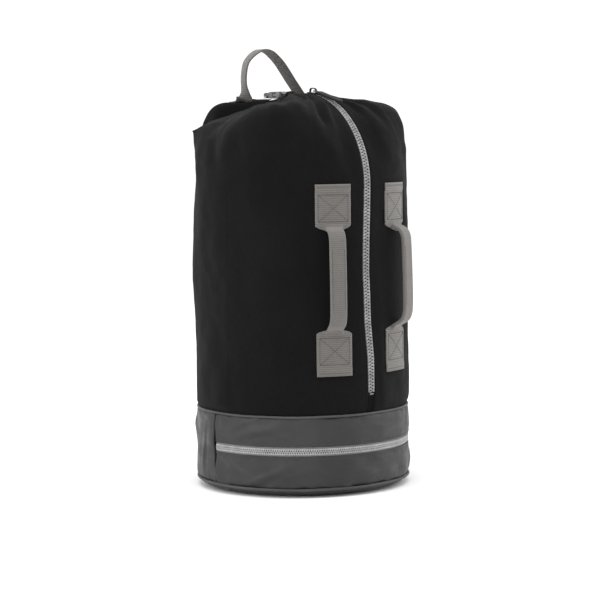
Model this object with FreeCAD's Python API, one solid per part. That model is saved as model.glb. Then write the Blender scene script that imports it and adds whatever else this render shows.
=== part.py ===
"""Upright cylindrical rope bag: black fabric body over a grey zipped base compartment.

Frame: millimetres, +Z up, origin on the bag's axis at the underside of the bottom panel.
The main zip runs up the front, which faces -Y. An azimuth is measured from the front,
positive towards +X. Everything that touches is kept GAP apart unless it is one solid.
"""
import FreeCAD, Part
import os
from math import asin, cos, degrees, exp, hypot, radians, sin

V = FreeCAD.Vector
Z_AXIS = V(0, 0, 1)
X_AXIS = V(1, 0, 0)
Y_AXIS = V(0, 1, 0)

# ---- driving dimensions -------------------------------------------------------------
BAG_R = 150.0            # outer radius of the filled bag
FABRIC = 1.6             # wall thickness, fabric with its lining
GAP = 0.3                # clearance between separate pieces
WAIST_Z = 110.2          # seam between base compartment and body
BOTTOM_SEAM_Z = 11.2     # seam between bottom panel and base wall
BODY_Z = WAIST_Z + 2.3   # lower edge of the body panels

# crown: along the zip the wall turns over in one arc; elsewhere it is a boxy shoulder
ARC_R = 130.0            # radius of the zip's turn over the front shoulder
ARC_Z = 418.0            # height where that turn starts
ARC_Y = -(BAG_R - ARC_R)
SHOULDER_Z = 390.0       # height where the side and back shoulders start
SIDE_RISE = 152.0        # from there to the flat of the crown at the sides
BACK_RISE = 148.0        # and at the back
SHOULDER_POWER = 6.5     # superellipse power of the side shoulders
CROWN_HOLE_R = 34.0      # the panels stop here, round the gathered centre
BACK_EDGE_DEG = 125.0    # azimuth of the seams beside the back panel

# base compartment
SIDE_SEAM_DEG = 92.0     # azimuth of the seams where the zipped front meets the back wall
BASE_ZIP_Z = 63.0        # centre of the base zip's chain
BASE_SLOT = (56.0, 70.0)  # lower and upper edge of the visible zip slot

# zip sections, measured from the chain's centreline across, and from BAG_R inwards
TOOTH_GAP = 0.6          # half the gap between the two rows
MAIN_TOOTH_EDGE = 5.2    # outer edge of a row of the main zip
BASE_TOOTH_EDGE = 4.0    # and of the base zip
TAPE_EDGE = 13.0         # outer edge of the tape, sewn under the panel
SLOT_HALF = 7.0          # half the visible slot of the main zip
TOOTH_SPAN = (BAG_R - 3.1, BAG_R - 0.5)
TAPE_SPAN = (BAG_R - 3.4, BAG_R - 2.5)
MAIN_ZIP_END_Z = 138.0   # lower end of the main chain

# webbing handles
HANDLE_DEG = 21.0        # azimuth of the handles, either side of the zip
HANDLE_WEB = 50.0        # webbing width of the sewn tabs
GRIP_WIDTH = 25.0        # the same webbing folded double
GRIP_THICK = 8.0
UPPER_TAB_Z = (366.0, 424.0)
LOWER_TAB_Z = (165.0, 224.0)
TAB_SPAN = (BAG_R + 0.4, BAG_R + 2.4)

# top hardware
LOOP_WEB = 25.0          # haul loop webbing width
LOOP_THICK = 2.6
LOOP_Y = 72.0            # the loop stands across the bag, this far behind its axis
LOOP_TOP_Z = 614.0
LOOP_HINGE_Z = 542.4     # the loop folds about a line here, across the bag
STRAP_WEB = 15.0         # closure strap webbing width
STRAP_THICK = 1.2

os.makedirs("parts", exist_ok=True)


# ---- small helpers ------------------------------------------------------------------
def azimuth(deg):
    """Unit vector of an azimuth in the horizontal plane."""
    return V(sin(radians(deg)), -cos(radians(deg)), 0)


def keep(name, shape):
    """Checks a node's solids and writes its STEP file."""
    solids = shape.Solids
    for solid in solids:
        if not solid.isValid() or solid.Volume <= 0:
            raise ValueError(name + " has a bad solid")
    out = solids[0] if len(solids) == 1 else Part.makeCompound(solids)
    out.exportStep("parts/" + name + ".step")
    print(f"{name:28s} {len(solids):3d} solid(s) {out.Volume / 1000:9.2f} cm3")


def band(profile, start_deg, end_deg):
    """Revolves a closed (radius, height) outline about the bag's axis between two azimuths."""
    out = azimuth(start_deg)
    points = [out * r + Z_AXIS * z for r, z in profile]
    face = Part.Face(Part.makePolygon(points + points[:1]))
    solid = face.revolve(V(0, 0, 0), Z_AXIS, end_deg - start_deg)
    return solid if solid.Volume > 0 else solid.reversed()


def rectangle(r0, r1, z0, z1):
    return [(r0, z0), (r1, z0), (r1, z1), (r0, z1)]


def ring(radius, height, wire_r):
    """A round cord lying in a full circle about the bag's axis."""
    return Part.makeTorus(radius, wire_r, V(0, 0, height), Z_AXIS)


def box(x0, x1, y0, y1, z0, z1):
    return Part.makeBox(x1 - x0, y1 - y0, z1 - z0, V(x0, y0, z0))


def ribbon(points, thickness, plane, width):
    """A strap that follows points in a plane, thickness deep, and width wide across it.

    plane maps (a, b, c) to the frame: a and b in the plane, c across the strap.
    """
    curve = Part.BSplineCurve()
    curve.interpolate([V(a, b, 0) for a, b in points])
    first, last = curve.FirstParameter, curve.LastParameter
    count = 4 * len(points)
    sides = ([], [])
    for i in range(count + 1):
        t = first + (last - first) * i / count
        p, d = curve.value(t), curve.tangent(t)[0]
        normal = V(-d.y, d.x, 0)
        for side, sign in zip(sides, (1, -1)):
            q = p + normal * (sign * thickness / 2)
            side.append(plane(q.x, q.y, -width / 2))
    edges = []
    for side in sides:
        line = Part.BSplineCurve()
        line.interpolate(side)
        edges.append(line.toShape())
    ends = [Part.makeLine(sides[0][k], sides[1][k]) for k in (0, -1)]
    face = Part.Face(Part.Wire(Part.__sortEdges__(edges + ends)))
    across = plane(0, 0, 1) - plane(0, 0, 0)
    solid = face.extrude(across * width)
    return solid if solid.Volume > 0 else solid.reversed()


# ---- the body's surface -------------------------------------------------------------
def resample(points, count):
    """Spreads count points evenly by length along a polyline of (radius, height)."""
    lengths = [0.0]
    for (r0, z0), (r1, z1) in zip(points, points[1:]):
        lengths.append(lengths[-1] + hypot(r1 - r0, z1 - z0))
    out, k = [], 0
    for i in range(count):
        target = lengths[-1] * i / (count - 1)
        while k < len(lengths) - 2 and lengths[k + 1] < target:
            k += 1
        t = (target - lengths[k]) / max(1e-9, lengths[k + 1] - lengths[k])
        (r0, z0), (r1, z1) = points[k], points[k + 1]
        out.append((r0 + (r1 - r0) * t, z0 + (z1 - z0) * t))
    return out


def front_profile():
    """Up the wall, over in one arc, and in to the crown hole."""
    wall = [(BAG_R - 2.0, BODY_Z), (BAG_R, BODY_Z + 9)]
    wall += [(BAG_R, BODY_Z + 9 + (ARC_Z - BODY_Z - 9) * i / 20) for i in range(1, 21)]
    turn_end = 90.0
    arc = []
    for i in range(1, 61):
        a = radians(turn_end * i / 60)
        arc.append((-ARC_Y + ARC_R * cos(a), ARC_Z + ARC_R * sin(a)))
    return wall + [p for p in arc if p[0] > CROWN_HOLE_R]


def side_profile(rise):
    """Up the wall and over a superellipse shoulder to the crown hole."""
    wall = [(BAG_R - 2.0, BODY_Z), (BAG_R, BODY_Z + 9)]
    wall += [(BAG_R, BODY_Z + 9 + (SHOULDER_Z - BODY_Z - 9) * i / 20) for i in range(1, 21)]
    shoulder = []
    for i in range(1, 241):
        a = radians(90.0 * i / 240)
        r = BAG_R * cos(a) ** (2 / SHOULDER_POWER)
        shoulder.append((r, SHOULDER_Z + rise * sin(a) ** (2 / SHOULDER_POWER)))
    return wall + [p for p in shoulder if p[0] > CROWN_HOLE_R] + [(CROWN_HOLE_R, SHOULDER_Z + rise)]


def smooth(t):
    t = min(1.0, max(0.0, t))
    return t * t * (3 - 2 * t)


ROWS = 34
FRONT = resample(front_profile(), ROWS)
SIDE = resample(side_profile(SIDE_RISE), ROWS)
BACK = resample(side_profile(BACK_RISE), ROWS)


def front_share(x, y):
    """1 on the zip's line, falling to 0 at the side shoulders and at the back."""
    return exp(-(max(0.0, abs(x) - 15) / 48) ** 2) * (1 - smooth(y / 40))


def body_point(deg, row):
    """A point of the body's outer surface: azimuth, and row 0 at the waist to ROWS - 1."""
    back = smooth((abs(deg) - 90) / 40)
    side = [s * (1 - back) + b * back for s, b in zip(SIDE[row], BACK[row])]
    front = FRONT[row]
    r = (side[0] + front[0]) / 2
    share = front_share(r * sin(radians(deg)), -r * cos(radians(deg)))
    r, z = [s * (1 - share) + f * share for s, f in zip(side, front)]
    return azimuth(deg) * r + Z_AXIS * z


def shell_patch(grid, thickness):
    """A solid between a grid of outer points and the same grid moved inwards."""
    rows, columns = len(grid), len(grid[0])
    inner = []
    for i in range(rows):
        line = []
        for j in range(columns):
            along = grid[min(i + 1, rows - 1)][j] - grid[max(i - 1, 0)][j]
            across = grid[i][min(j + 1, columns - 1)] - grid[i][max(j - 1, 0)]
            normal = across.cross(along).normalize()
            if normal.dot(V(grid[i][j].x, grid[i][j].y, 60)) < 0:
                normal = normal * -1
            line.append(grid[i][j] - normal * thickness)
        inner.append(line)
    surfaces = []
    for points in (grid, inner):
        surface = Part.BSplineSurface()
        surface.interpolate(points)
        surfaces.append(surface)
    outer_face, inner_face = (s.toShape() for s in surfaces)
    sides = []
    for pick in (
        lambda s: s.uIso(s.bounds()[0]),
        lambda s: s.uIso(s.bounds()[1]),
        lambda s: s.vIso(s.bounds()[2]),
        lambda s: s.vIso(s.bounds()[3]),
    ):
        a, b = (pick(s).toShape() for s in surfaces)
        sides.append(Part.makeRuledSurface(a, b))
    shell = Part.Shell([outer_face, inner_face] + sides)
    shell.sewShape()
    solid = Part.Solid(shell)
    return solid if solid.Volume > 0 else solid.reversed()


def side_panel(sign):
    """Left (-1) or right (+1) body panel: from the zip slot round to the back seam."""
    columns = 22
    grid = []
    for i in range(ROWS):
        r_slot = FRONT[i][0]
        start = degrees(asin(SLOT_HALF / r_slot))
        line = []
        for j in range(columns):
            deg = start + (BACK_EDGE_DEG - start) * j / (columns - 1)
            line.append(body_point(sign * deg, i))
        grid.append(line)
    return shell_patch(grid, FABRIC)


def back_panel():
    columns = 18
    edge = BACK_EDGE_DEG + 0.3
    grid = []
    for i in range(ROWS):
        line = []
        for j in range(columns):
            deg = edge + (360 - 2 * edge) * j / (columns - 1)
            line.append(body_point(deg if deg <= 180 else deg - 360, i))
        grid.append(line)
    return shell_patch(grid, FABRIC)


KNOB_Y = 19.0
KNOB_Z = 539.0
KNOB_TOP_Z = 551.0


def knob(grow):
    """The gathered fabric that stands up at the crown's centre."""
    foot, top = KNOB_Z - grow, KNOB_TOP_Z + grow
    return Part.makeCone(12.0 + grow, 8.5 + grow, top - foot, V(0, KNOB_Y, foot))


def body():
    keep("body_left_panel", side_panel(-1))
    keep("body_right_panel", side_panel(1))
    keep("body_back_panel", back_panel())
    disc = Part.makeCylinder(CROWN_HOLE_R - 0.8, 2.0, V(0, 0, KNOB_Z - 1.8))
    keep("crown_gather", disc.fuse(knob(0)).removeSplitter())


# ---- base compartment ---------------------------------------------------------------
def wall_strip(z0, z1, start_deg, end_deg):
    """A strip of the base wall; the wall draws in a little at both seams."""

    def outer(z):
        nearest = min(z - BOTTOM_SEAM_Z, WAIST_Z - z)
        return BAG_R - 0.5 - 3.0 * exp(-nearest / 5)

    heights = [z0 + (z1 - z0) * i / 6 for i in range(7)]
    profile = [(outer(z), z) for z in heights]
    profile += [(outer(z) - FABRIC, z) for z in reversed(heights)]
    return band(profile, start_deg, end_deg)


def base():
    dish = [(0, 0), (122, 0), (138, 2.6), (146.6, 8.0), (146.6, 10.4), (144.8, 10.4),
            (144.8, 9.2), (137.2, 4.6), (121.6, 2.0), (0, 2.0)]
    keep("bottom_panel", band(dish, 0, 360))
    keep("base_board", Part.makeCylinder(118, 3.0, V(0, 0, 2.0 + GAP)))
    keep("bottom_piping", ring(BAG_R - 0.6, BOTTOM_SEAM_Z, 2.2))
    keep("waist_piping", ring(BAG_R - 1.6, WAIST_Z, 1.9))
    keep("divider_panel", Part.makeCylinder(146.0, 2.0, V(0, 0, WAIST_Z - 1.0)))
    low, high = BOTTOM_SEAM_Z + 2.5, WAIST_Z - 2.2
    keep("base_front_lower_wall", wall_strip(low, BASE_SLOT[0], -SIDE_SEAM_DEG, SIDE_SEAM_DEG))
    keep("base_front_upper_wall", wall_strip(BASE_SLOT[1], high, -SIDE_SEAM_DEG, SIDE_SEAM_DEG))
    seam = SIDE_SEAM_DEG + 0.15
    keep("base_back_wall", wall_strip(low, high, seam, 360 - seam))
    keep("bottom_seam_binding", band(rectangle(142.6, 144.0, 14.4, 22.0), 0, 360))
    keep("waist_seam_binding", band(rectangle(142.6, 144.0, 100.6, 108.4), 0, 360))


# ---- base zip: everything turns about the bag's axis -----------------------------------
BASE_SLIDER_DEG = 86.5
BASE_CHAIN_DEG = 90.5
PIVOT_AHEAD = 3.0        # the puller's pin lies in the leading half of the bridge
RING_HALF = 3.4          # half the puller ring's width, wire centre to wire centre
RING_LENGTH = 9.5
BASE_PULL_LENGTH = 46.0
MAIN_PULL_LENGTH = 61.0


def base_zip():
    for name, sign in (("lower", -1), ("upper", 1)):
        row = sorted(BASE_ZIP_Z + sign * d for d in (TOOTH_GAP, BASE_TOOTH_EDGE))
        tape = sorted(BASE_ZIP_Z + sign * d for d in (BASE_TOOTH_EDGE + 0.1, TAPE_EDGE))
        keep("base_zip_teeth_" + name, band(rectangle(*TOOTH_SPAN, *row), -BASE_CHAIN_DEG, BASE_CHAIN_DEG))
        keep("base_zip_tape_" + name, band(rectangle(*TAPE_SPAN, *tape), -BASE_CHAIN_DEG, BASE_CHAIN_DEG))
    z0, z1 = BASE_ZIP_Z - BASE_TOOTH_EDGE, BASE_ZIP_Z + BASE_TOOTH_EDGE
    stops = [band(rectangle(*TOOTH_SPAN, z0, z1), a, a + 0.8) for a in (-91.5, 90.7)]
    keep("base_zip_stops", Part.makeCompound(stops))
    slider = base_slider()
    slider.rotate(V(0, 0, 0), Z_AXIS, BASE_SLIDER_DEG)
    keep("base_zip_slider", slider)
    pivot_deg = BASE_SLIDER_DEG + degrees(PIVOT_AHEAD / BASE_PIVOT_R)
    centre = azimuth(pivot_deg) * BASE_PIVOT_R + Z_AXIS * BASE_ZIP_Z
    for name, piece in (("ring", pull_ring()), ("grip", pull_grip(BASE_PULL_LENGTH))):
        piece.rotate(V(0, 0, 0), Y_AXIS, 90)
        piece.rotate(V(0, 0, 0), Z_AXIS, pivot_deg + 90 + BASE_PULL_LEAN)
        piece.translate(centre)
        keep("base_puller_" + name, piece)


SLIDER_HALF_DEG = 3.8    # half the base slider's length, as an azimuth
BASE_PIVOT_R = BAG_R + 4.0
BASE_PULL_LEAN = 7.5     # the puller leans in against the wall


def base_slider():
    """Two curved plates joined by a post, with a bridge for the puller; built at the front."""
    a = SLIDER_HALF_DEG
    half = 6.2
    outer = band(rectangle(BAG_R - 0.1, BAG_R + 1.6, BASE_ZIP_Z - half, BASE_ZIP_Z + half), -a, a)
    inner = band(rectangle(BAG_R - 5.8, BAG_R - 3.6, BASE_ZIP_Z - half, BASE_ZIP_Z + half), -a, a)
    post = band(rectangle(BAG_R - 3.8, BAG_R, BASE_ZIP_Z - 0.35, BASE_ZIP_Z + 0.35), a - 1.2, a)

    def plane(p, q, c):
        return V(p, -q, BASE_ZIP_Z + c)

    foot, top = BAG_R + 1.0, BAG_R + 6.4
    bridge = ribbon([(-6.5, foot), (-5.6, top - 1.4), (-2.5, top), (2.5, top), (5.6, top - 1.4), (6.5, foot)],
                    1.4, plane, 3.2)
    return outer.fuse([inner, post, bridge]).removeSplitter()


def pull_ring():
    """A wire ring through the bridge's eye at the origin, reaching along -Y; it turns about X."""
    x, y, wire = RING_HALF, -RING_LENGTH, 0.9
    corners = [V(-x, 0, 0), V(x, 0, 0), V(x, y, 0), V(-x, y, 0)]
    pieces = [Part.makeSphere(wire, c) for c in corners]
    for a, b in zip(corners, corners[1:] + corners[:1]):
        pieces.append(Part.makeCylinder(wire, (b - a).Length, a, b - a))
    return pieces[0].fuse(pieces[1:]).removeSplitter()


def pull_grip(length):
    """A moulded tab round the ring's far bar, tapering a little towards its end."""
    start, end = -7.4, -length
    outline = [V(-5.2, start, 0), V(5.2, start, 0), V(4.2, end, 0), V(-4.2, end, 0)]
    tab = Part.Face(Part.makePolygon(outline + outline[:1])).extrude(V(0, 0, 4.0))
    tab.translate(V(0, 0, -2.0))
    tab = tab.makeFillet(1.4, tab.Edges)
    return tab.cut(ring_clearance())


def ring_clearance():
    """Room for the wire ring inside the tab."""
    x, y, wire = RING_HALF, -RING_LENGTH, 1.05
    ends = [Part.makeSphere(wire, V(side, y, 0)) for side in (-x, x)]
    bar = Part.makeCylinder(wire, 2 * x, V(-x, y, 0), X_AXIS)
    arms = [Part.makeCylinder(wire, 12.0, V(side, y + 12.0, 0), V(0, -1, 0)) for side in (-x, x)]
    return bar.fuse(arms + ends)


# ---- main zip: an arc over the shoulder and a straight run down the front --------------
ARC_CENTRE = V(0, ARC_Y, ARC_Z)
TOP_DEG = 1.0            # the chain starts this far in front of the arc's top
MAIN_SLIDER_DEG = 5.4    # the slider's centre, closed


def arc_sector(x0, x1, r0, r1, start_deg, end_deg):
    """A bar of rectangular section that follows the zip's arc; angles run from its top."""
    corners = ((x0, r0), (x1, r0), (x1, r1), (x0, r1))
    points = [V(x, ARC_Y, ARC_Z + r) for x, r in corners]
    face = Part.Face(Part.makePolygon(points + points[:1]))
    face.rotate(ARC_CENTRE, X_AXIS, start_deg)
    solid = face.revolve(ARC_CENTRE, X_AXIS, end_deg - start_deg)
    return solid if solid.Volume > 0 else solid.reversed()


def zip_bar(x0, x1, span, bottom_z):
    """One strip of the main zip, from its top end to bottom_z; span is measured from BAG_R."""
    inwards = [s - BAG_R + ARC_R for s in span]
    arc = arc_sector(x0, x1, *inwards, TOP_DEG, 90)
    straight = box(x0, x1, -span[1], -span[0], bottom_z, ARC_Z)
    return arc.fuse(straight).removeSplitter()


def main_zip():
    for name, sign in (("left", -1), ("right", 1)):
        row = sorted(sign * d for d in (TOOTH_GAP, MAIN_TOOTH_EDGE))
        tape = sorted(sign * d for d in (MAIN_TOOTH_EDGE + 0.1, TAPE_EDGE))
        keep("main_zip_teeth_" + name, zip_bar(*row, TOOTH_SPAN, MAIN_ZIP_END_Z))
        keep("main_zip_tape_" + name, zip_bar(*tape, TAPE_SPAN, BODY_Z + 10))
    inwards = [s - BAG_R + ARC_R for s in TOOTH_SPAN]
    stops = []
    for s in (-1, 1):
        across = sorted((s * TOOTH_GAP, s * MAIN_TOOTH_EDGE))
        stops.append(arc_sector(*across, *inwards, 0.1, TOP_DEG - 0.1))
    keep("main_zip_top_stops", Part.makeCompound(stops))
    front, rear = -TOOTH_SPAN[1], -TOOTH_SPAN[0]
    keep("main_zip_bottom_stop",
         box(-MAIN_TOOTH_EDGE, MAIN_TOOTH_EDGE, front, rear, MAIN_ZIP_END_Z - 3.2, MAIN_ZIP_END_Z - 0.2))
    half, low = SLOT_HALF - GAP, BODY_Z + 2
    face = box(-half, half, -(BAG_R + 0.2), -(BAG_R - 0.4), low, MAIN_ZIP_END_Z - 0.4)
    fold = box(-3.4, 3.4, -(BAG_R - 0.4), -(BAG_R - 1.0), low, MAIN_ZIP_END_Z - 4)
    keep("main_zip_end_tab", face.fuse(fold).removeSplitter())
    slider = main_slider()
    slider.rotate(ARC_CENTRE, X_AXIS, MAIN_SLIDER_DEG)
    keep("main_zip_slider", slider)
    pivot = main_pivot()
    for name, piece in (("ring", pull_ring()), ("grip", pull_grip(MAIN_PULL_LENGTH))):
        piece.rotate(V(0, 0, 0), X_AXIS, MAIN_PULL_SLOPE)
        piece.translate(pivot)
        keep("main_puller_" + name, piece)


MAIN_PULL_SLOPE = 15.5   # the puller's fall towards the front, from level
PIVOT_RISE = 4.2         # of the puller's pin above the fabric


def main_pivot():
    a = radians(MAIN_SLIDER_DEG) + PIVOT_AHEAD / ARC_R
    rho = ARC_R + PIVOT_RISE
    return V(0, ARC_Y - rho * sin(a), ARC_Z + rho * cos(a))


def main_slider():
    """Built at the arc's top: plates above and below the chain, a post, and a bridge."""
    half_deg = degrees(10.0 / ARC_R)
    half = 6.2
    upper = arc_sector(-half, half, ARC_R - 0.1, ARC_R + 1.6, -half_deg, half_deg)
    lower = arc_sector(-half, half, ARC_R - 5.8, ARC_R - 3.6, -half_deg, half_deg)
    post = arc_sector(-0.35, 0.35, ARC_R - 3.8, ARC_R, -half_deg, -half_deg + 1.4)

    def plane(p, q, c):
        return V(c, ARC_Y + p, ARC_Z + q)

    foot, top = ARC_R + 1.0, ARC_R + 7.2
    bridge = ribbon([(-7.2, foot), (-6.4, top - 1.6), (-3.0, top), (3.0, top), (6.4, top - 1.6), (7.2, foot)],
                    1.6, plane, 3.4)
    return upper.fuse([lower, post, bridge]).removeSplitter()


# ---- webbing side handles --------------------------------------------------------------
GRIP_PATH = [(160.5, 355.6), (166.0, 353.4), (170.6, 345.0), (172.6, 325.0), (174.4, 290.0), (175.4, 258.0),
             (173.6, 243.5), (168.0, 236.0), (160.5, 233.6)]


def handle(side, sign):
    """Two sewn tabs with turned-out lips, and the folded grip between them."""
    half = degrees(HANDLE_WEB / 2 / BAG_R)
    centre = sign * HANDLE_DEG
    r0, r1 = TAB_SPAN
    lip = BAG_R + 7.5
    z0, z1 = UPPER_TAB_Z
    upper = [(r0, z0 - 4), (lip, z0 - 5), (lip, z0 - 3), (r1, z0 - 2), (r1, z1), (r0, z1)]
    keep(side + "_handle_upper_tab", band(upper, centre - half, centre + half))
    z0, z1 = LOWER_TAB_Z
    lower = [(r0, z0), (r1, z0), (r1, z1 + 2), (lip, z1 + 3), (lip, z1 + 5), (r0, z1 + 4)]
    keep(side + "_handle_lower_tab", band(lower, centre - half, centre + half))
    out = azimuth(centre)
    across = V(-out.y, out.x, 0)

    def plane(p, q, c):
        return out * p + Z_AXIS * q + across * c

    grip = ribbon(GRIP_PATH, GRIP_THICK, plane, GRIP_WIDTH)
    keep(side + "_handle_grip", grip)


# ---- haul loop and closure strap ---------------------------------------------------------
# (x, z) along the loop from its left foot, and the way its width points there, from +X to +Y.
# Each leg leaves its foot with its width across the bag, and turns a quarter turn as it rises.
LOOP_END_Z = LOOP_HINGE_Z - 0.3  # the legs' ends, clear of the feet as the loop folds
LOOP_PATH = [(-41, LOOP_END_Z), (-41, 548), (-41.4, 554), (-42.6, 560), (-43.2, 568), (-42.5, 578),
             (-40, 589), (-35, 597.5), (-24, 606.5), (-11.5, LOOP_TOP_Z - 2.2), (1.5, 609.5), (12, 602.5),
             (22.3, 593), (32.6, 580.5), (41.5, 569), (49, 560), (54.5, 553), (58, 547.5),
             (59, LOOP_END_Z)]
LOOP_TWIST = [180, 151, 119, 92, 78, 71, 71, 74, 80, 86, 90, 90, 90, 90, 92, 105, 126, 152, 180]
FOOT = (26.0, 24.0, 2.0)  # each sewn foot: across the bag, along it, and its thickness


def haul_loop():
    """Webbing arch: its legs rise from the feet and turn edge-on to the arch's plane."""
    path = Part.BSplineCurve()
    path.interpolate([V(x, LOOP_Y, z) for x, z in LOOP_PATH])
    twist = Part.BSplineCurve()
    twist.interpolate([V(i, a, 0) for i, a in enumerate(LOOP_TWIST)])
    sections = []
    count = 60
    for i in range(count + 1):
        t = i / count
        u = path.FirstParameter + t * (path.LastParameter - path.FirstParameter)
        w = twist.FirstParameter + t * (twist.LastParameter - twist.FirstParameter)
        centre, along = path.value(u), path.tangent(u)[0]
        if i in (0, count):
            along = V(0, 0, 1 if i == 0 else -1)
        a = radians(twist.value(w).y)
        wide = V(cos(a), sin(a), 0)
        wide = (wide - along * wide.dot(along)).normalize()
        thin = along.cross(wide).normalize()
        corners = []
        for p, q in ((-1, -1), (1, -1), (1, 1), (-1, 1)):
            corners.append(centre + wide * (p * LOOP_WEB / 2) + thin * (q * LOOP_THICK / 2))
        sections.append(Part.makePolygon(corners + corners[:1]))
    keep("haul_loop_webbing", Part.makeLoft(sections, True, True))
    z0 = SHOULDER_Z + BACK_RISE + 0.6
    for side, end in (("left", 0), ("right", -1)):
        x = LOOP_PATH[end][0]
        place = V(x - FOOT[0] / 2, LOOP_Y - FOOT[1] / 2, z0)
        keep("haul_loop_foot_" + side, Part.makeBox(*FOOT, place))


BUCKLE_FLOOR = 542.0     # underside of the buckle, just above the strap lying on the crown
BUCKLE_HEIGHT = 9.6
BUCKLE_HALF = 10.5       # half its width
FEMALE_Y = (33.0, 54.0)
BAR_DEPTH = 2.2          # webbing bars of both halves
SLOT_DEPTH = 2.6         # webbing slots behind the bars
BUCKLE_WALL = 1.6


def buckle_female():
    y0, y1 = FEMALE_Y
    z0, z1 = BUCKLE_FLOOR, BUCKLE_FLOOR + BUCKLE_HEIGHT
    half, slot_half = BUCKLE_HALF, BUCKLE_HALF - 2.4
    shell = box(-half, half, y0, y1, z0, z1)
    shell = shell.makeFillet(2.4, [e for e in shell.Edges if abs(e.tangentAt(0).y) > 0.9])
    cavity = box(-half + 2.2, half - 2.2, y0 + 6, y1 + 1, z0 + BUCKLE_WALL, z1 - BUCKLE_WALL)
    cuts = [cavity, box(-slot_half, slot_half, y0 + BAR_DEPTH, y0 + BAR_DEPTH + SLOT_DEPTH, z0 - 1, z1 + 1)]
    for s in (-1, 1):
        window = sorted((s * (half - 3), s * (half + 1)))
        cuts.append(box(*window, y0 + 7.5, y0 + 15, z0 + 2.4, z1 - 2.4))
    for z in (z0 - 1, z1 - 2.4):
        cuts.append(box(-slot_half, slot_half, y0 - 1, y0 + BAR_DEPTH + 0.2, z, z + 3.4))
    return shell.cut(cuts)


def buckle_male():
    y0 = FEMALE_Y[1] + GAP
    z0, z1 = BUCKLE_FLOOR, BUCKLE_FLOOR + BUCKLE_HEIGHT
    mid = (z0 + z1) / 2
    half, slot_half = BUCKLE_HALF - 0.3, BUCKLE_HALF - 2.6
    head = box(-half, half, y0, y0 + 4, z0 + 0.4, z1 - 0.4)
    head = head.makeFillet(1.6, [e for e in head.Edges if abs(e.tangentAt(0).y) > 0.9])
    frame = box(-half, half, y0 + 3, y0 + 14.5, mid - 2.0, mid + 2.0)
    frame = frame.cut([box(-slot_half, slot_half, y0 + 5.6, y0 + 7.8, mid - 5, mid + 5),
                       box(-slot_half, slot_half, y0 + 9.6, y0 + 12.2, mid - 5, mid + 5)])
    pieces = [frame, box(-1.7, 1.7, y0 - 13, y0 + 1, mid - 1.3, mid + 1.3)]
    for s in (-1, 1):
        pieces.append(box(*sorted((s * 5.6, s * 7.4)), y0 - 11, y0 + 1, mid - 1.8, mid + 1.8))
        head_points = [V(s * 5.6, y0 - 13.5, mid - 1.8), V(s * 7.0, y0 - 13.5, mid - 1.8),
                       V(s * 8.0, y0 - 8.5, mid - 1.8), V(s * 5.6, y0 - 7.5, mid - 1.8)]
        pieces.append(Part.Face(Part.makePolygon(head_points + head_points[:1])).extrude(V(0, 0, 3.6)))
    return head.fuse(pieces).removeSplitter()


def closure():
    """Webbing and a side-release buckle that hold the gathered front down to the back."""

    def plane(p, q, c):
        return V(c, p, q)

    mid = BUCKLE_FLOOR + BUCKLE_HEIGHT / 2
    keep("buckle_female", buckle_female())
    keep("buckle_male", buckle_male())
    y0 = FEMALE_Y[0]
    turn = y0 + BAR_DEPTH + SLOT_DEPTH / 2
    front = [(y0 - 8, mid + 3.8), (y0 - 3, mid + 4.2), (y0 + 1.4, mid + 4.0), (turn, mid + 2.2),
             (turn, mid - 2.2), (y0 + 1.4, mid - 4.0), (y0 - 3, mid - 4.2), (y0 - 8, mid - 3.8)]
    keep("closure_strap_front", ribbon(front, STRAP_THICK, plane, STRAP_WEB).cut(knob(GAP)))
    bar_y = FEMALE_Y[1] + GAP + 13.4
    turn = bar_y - 2.5
    back = [(bar_y + 5, mid - 3.4), (bar_y + 1, mid - 3.4), (bar_y - 1.6, mid - 3.0), (turn, mid - 1.4),
            (turn, mid + 1.4), (bar_y - 1.6, mid + 3.0), (bar_y + 1, mid + 3.4), (bar_y + 5, mid + 3.4)]
    keep("closure_strap_loop", ribbon(back, STRAP_THICK, plane, STRAP_WEB))
    anchor = box(-STRAP_WEB / 2, STRAP_WEB / 2, bar_y + 5.4, bar_y + 29, 540.4, 540.4 + STRAP_THICK)
    keep("closure_strap_anchor", anchor)


base()
base_zip()
body()
main_zip()
handle("left", -1)
handle("right", 1)
haul_loop()
closure()
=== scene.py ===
import math
import bmesh
import bpy
import numpy as np
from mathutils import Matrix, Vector


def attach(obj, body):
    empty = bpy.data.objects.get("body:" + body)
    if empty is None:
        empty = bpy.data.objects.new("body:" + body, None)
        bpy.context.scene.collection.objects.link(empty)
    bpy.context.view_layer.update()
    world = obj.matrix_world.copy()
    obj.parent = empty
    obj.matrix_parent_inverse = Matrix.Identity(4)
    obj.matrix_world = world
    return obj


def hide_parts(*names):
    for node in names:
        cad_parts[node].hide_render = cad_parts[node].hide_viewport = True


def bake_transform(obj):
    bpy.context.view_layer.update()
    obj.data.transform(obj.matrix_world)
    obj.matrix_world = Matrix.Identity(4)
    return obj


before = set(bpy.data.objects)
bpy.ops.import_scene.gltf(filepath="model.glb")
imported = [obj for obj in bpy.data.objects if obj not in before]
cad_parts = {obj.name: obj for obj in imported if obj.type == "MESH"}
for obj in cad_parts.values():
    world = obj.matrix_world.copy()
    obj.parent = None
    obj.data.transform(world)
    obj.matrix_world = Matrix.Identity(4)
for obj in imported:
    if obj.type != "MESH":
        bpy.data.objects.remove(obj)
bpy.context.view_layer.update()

# All shapes below are worked out in millimetres in the CAD frame and scaled on the way out:
# +Z up, the front faces -Y, and an azimuth is measured from the front, positive towards +X.
MM = 0.001
BAG_R = 150.0
WAIST_Z = 110.2
BODY_Z = 112.5
BOTTOM_SEAM_Z = 11.2
SEAM_DEG = 125.0
SIDE_SEAM_DEG = 92.0
ARC_R, ARC_Y, ARC_Z = 130.0, -20.0, 418.0
KNOT = np.array([0.0, 24.0])
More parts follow.
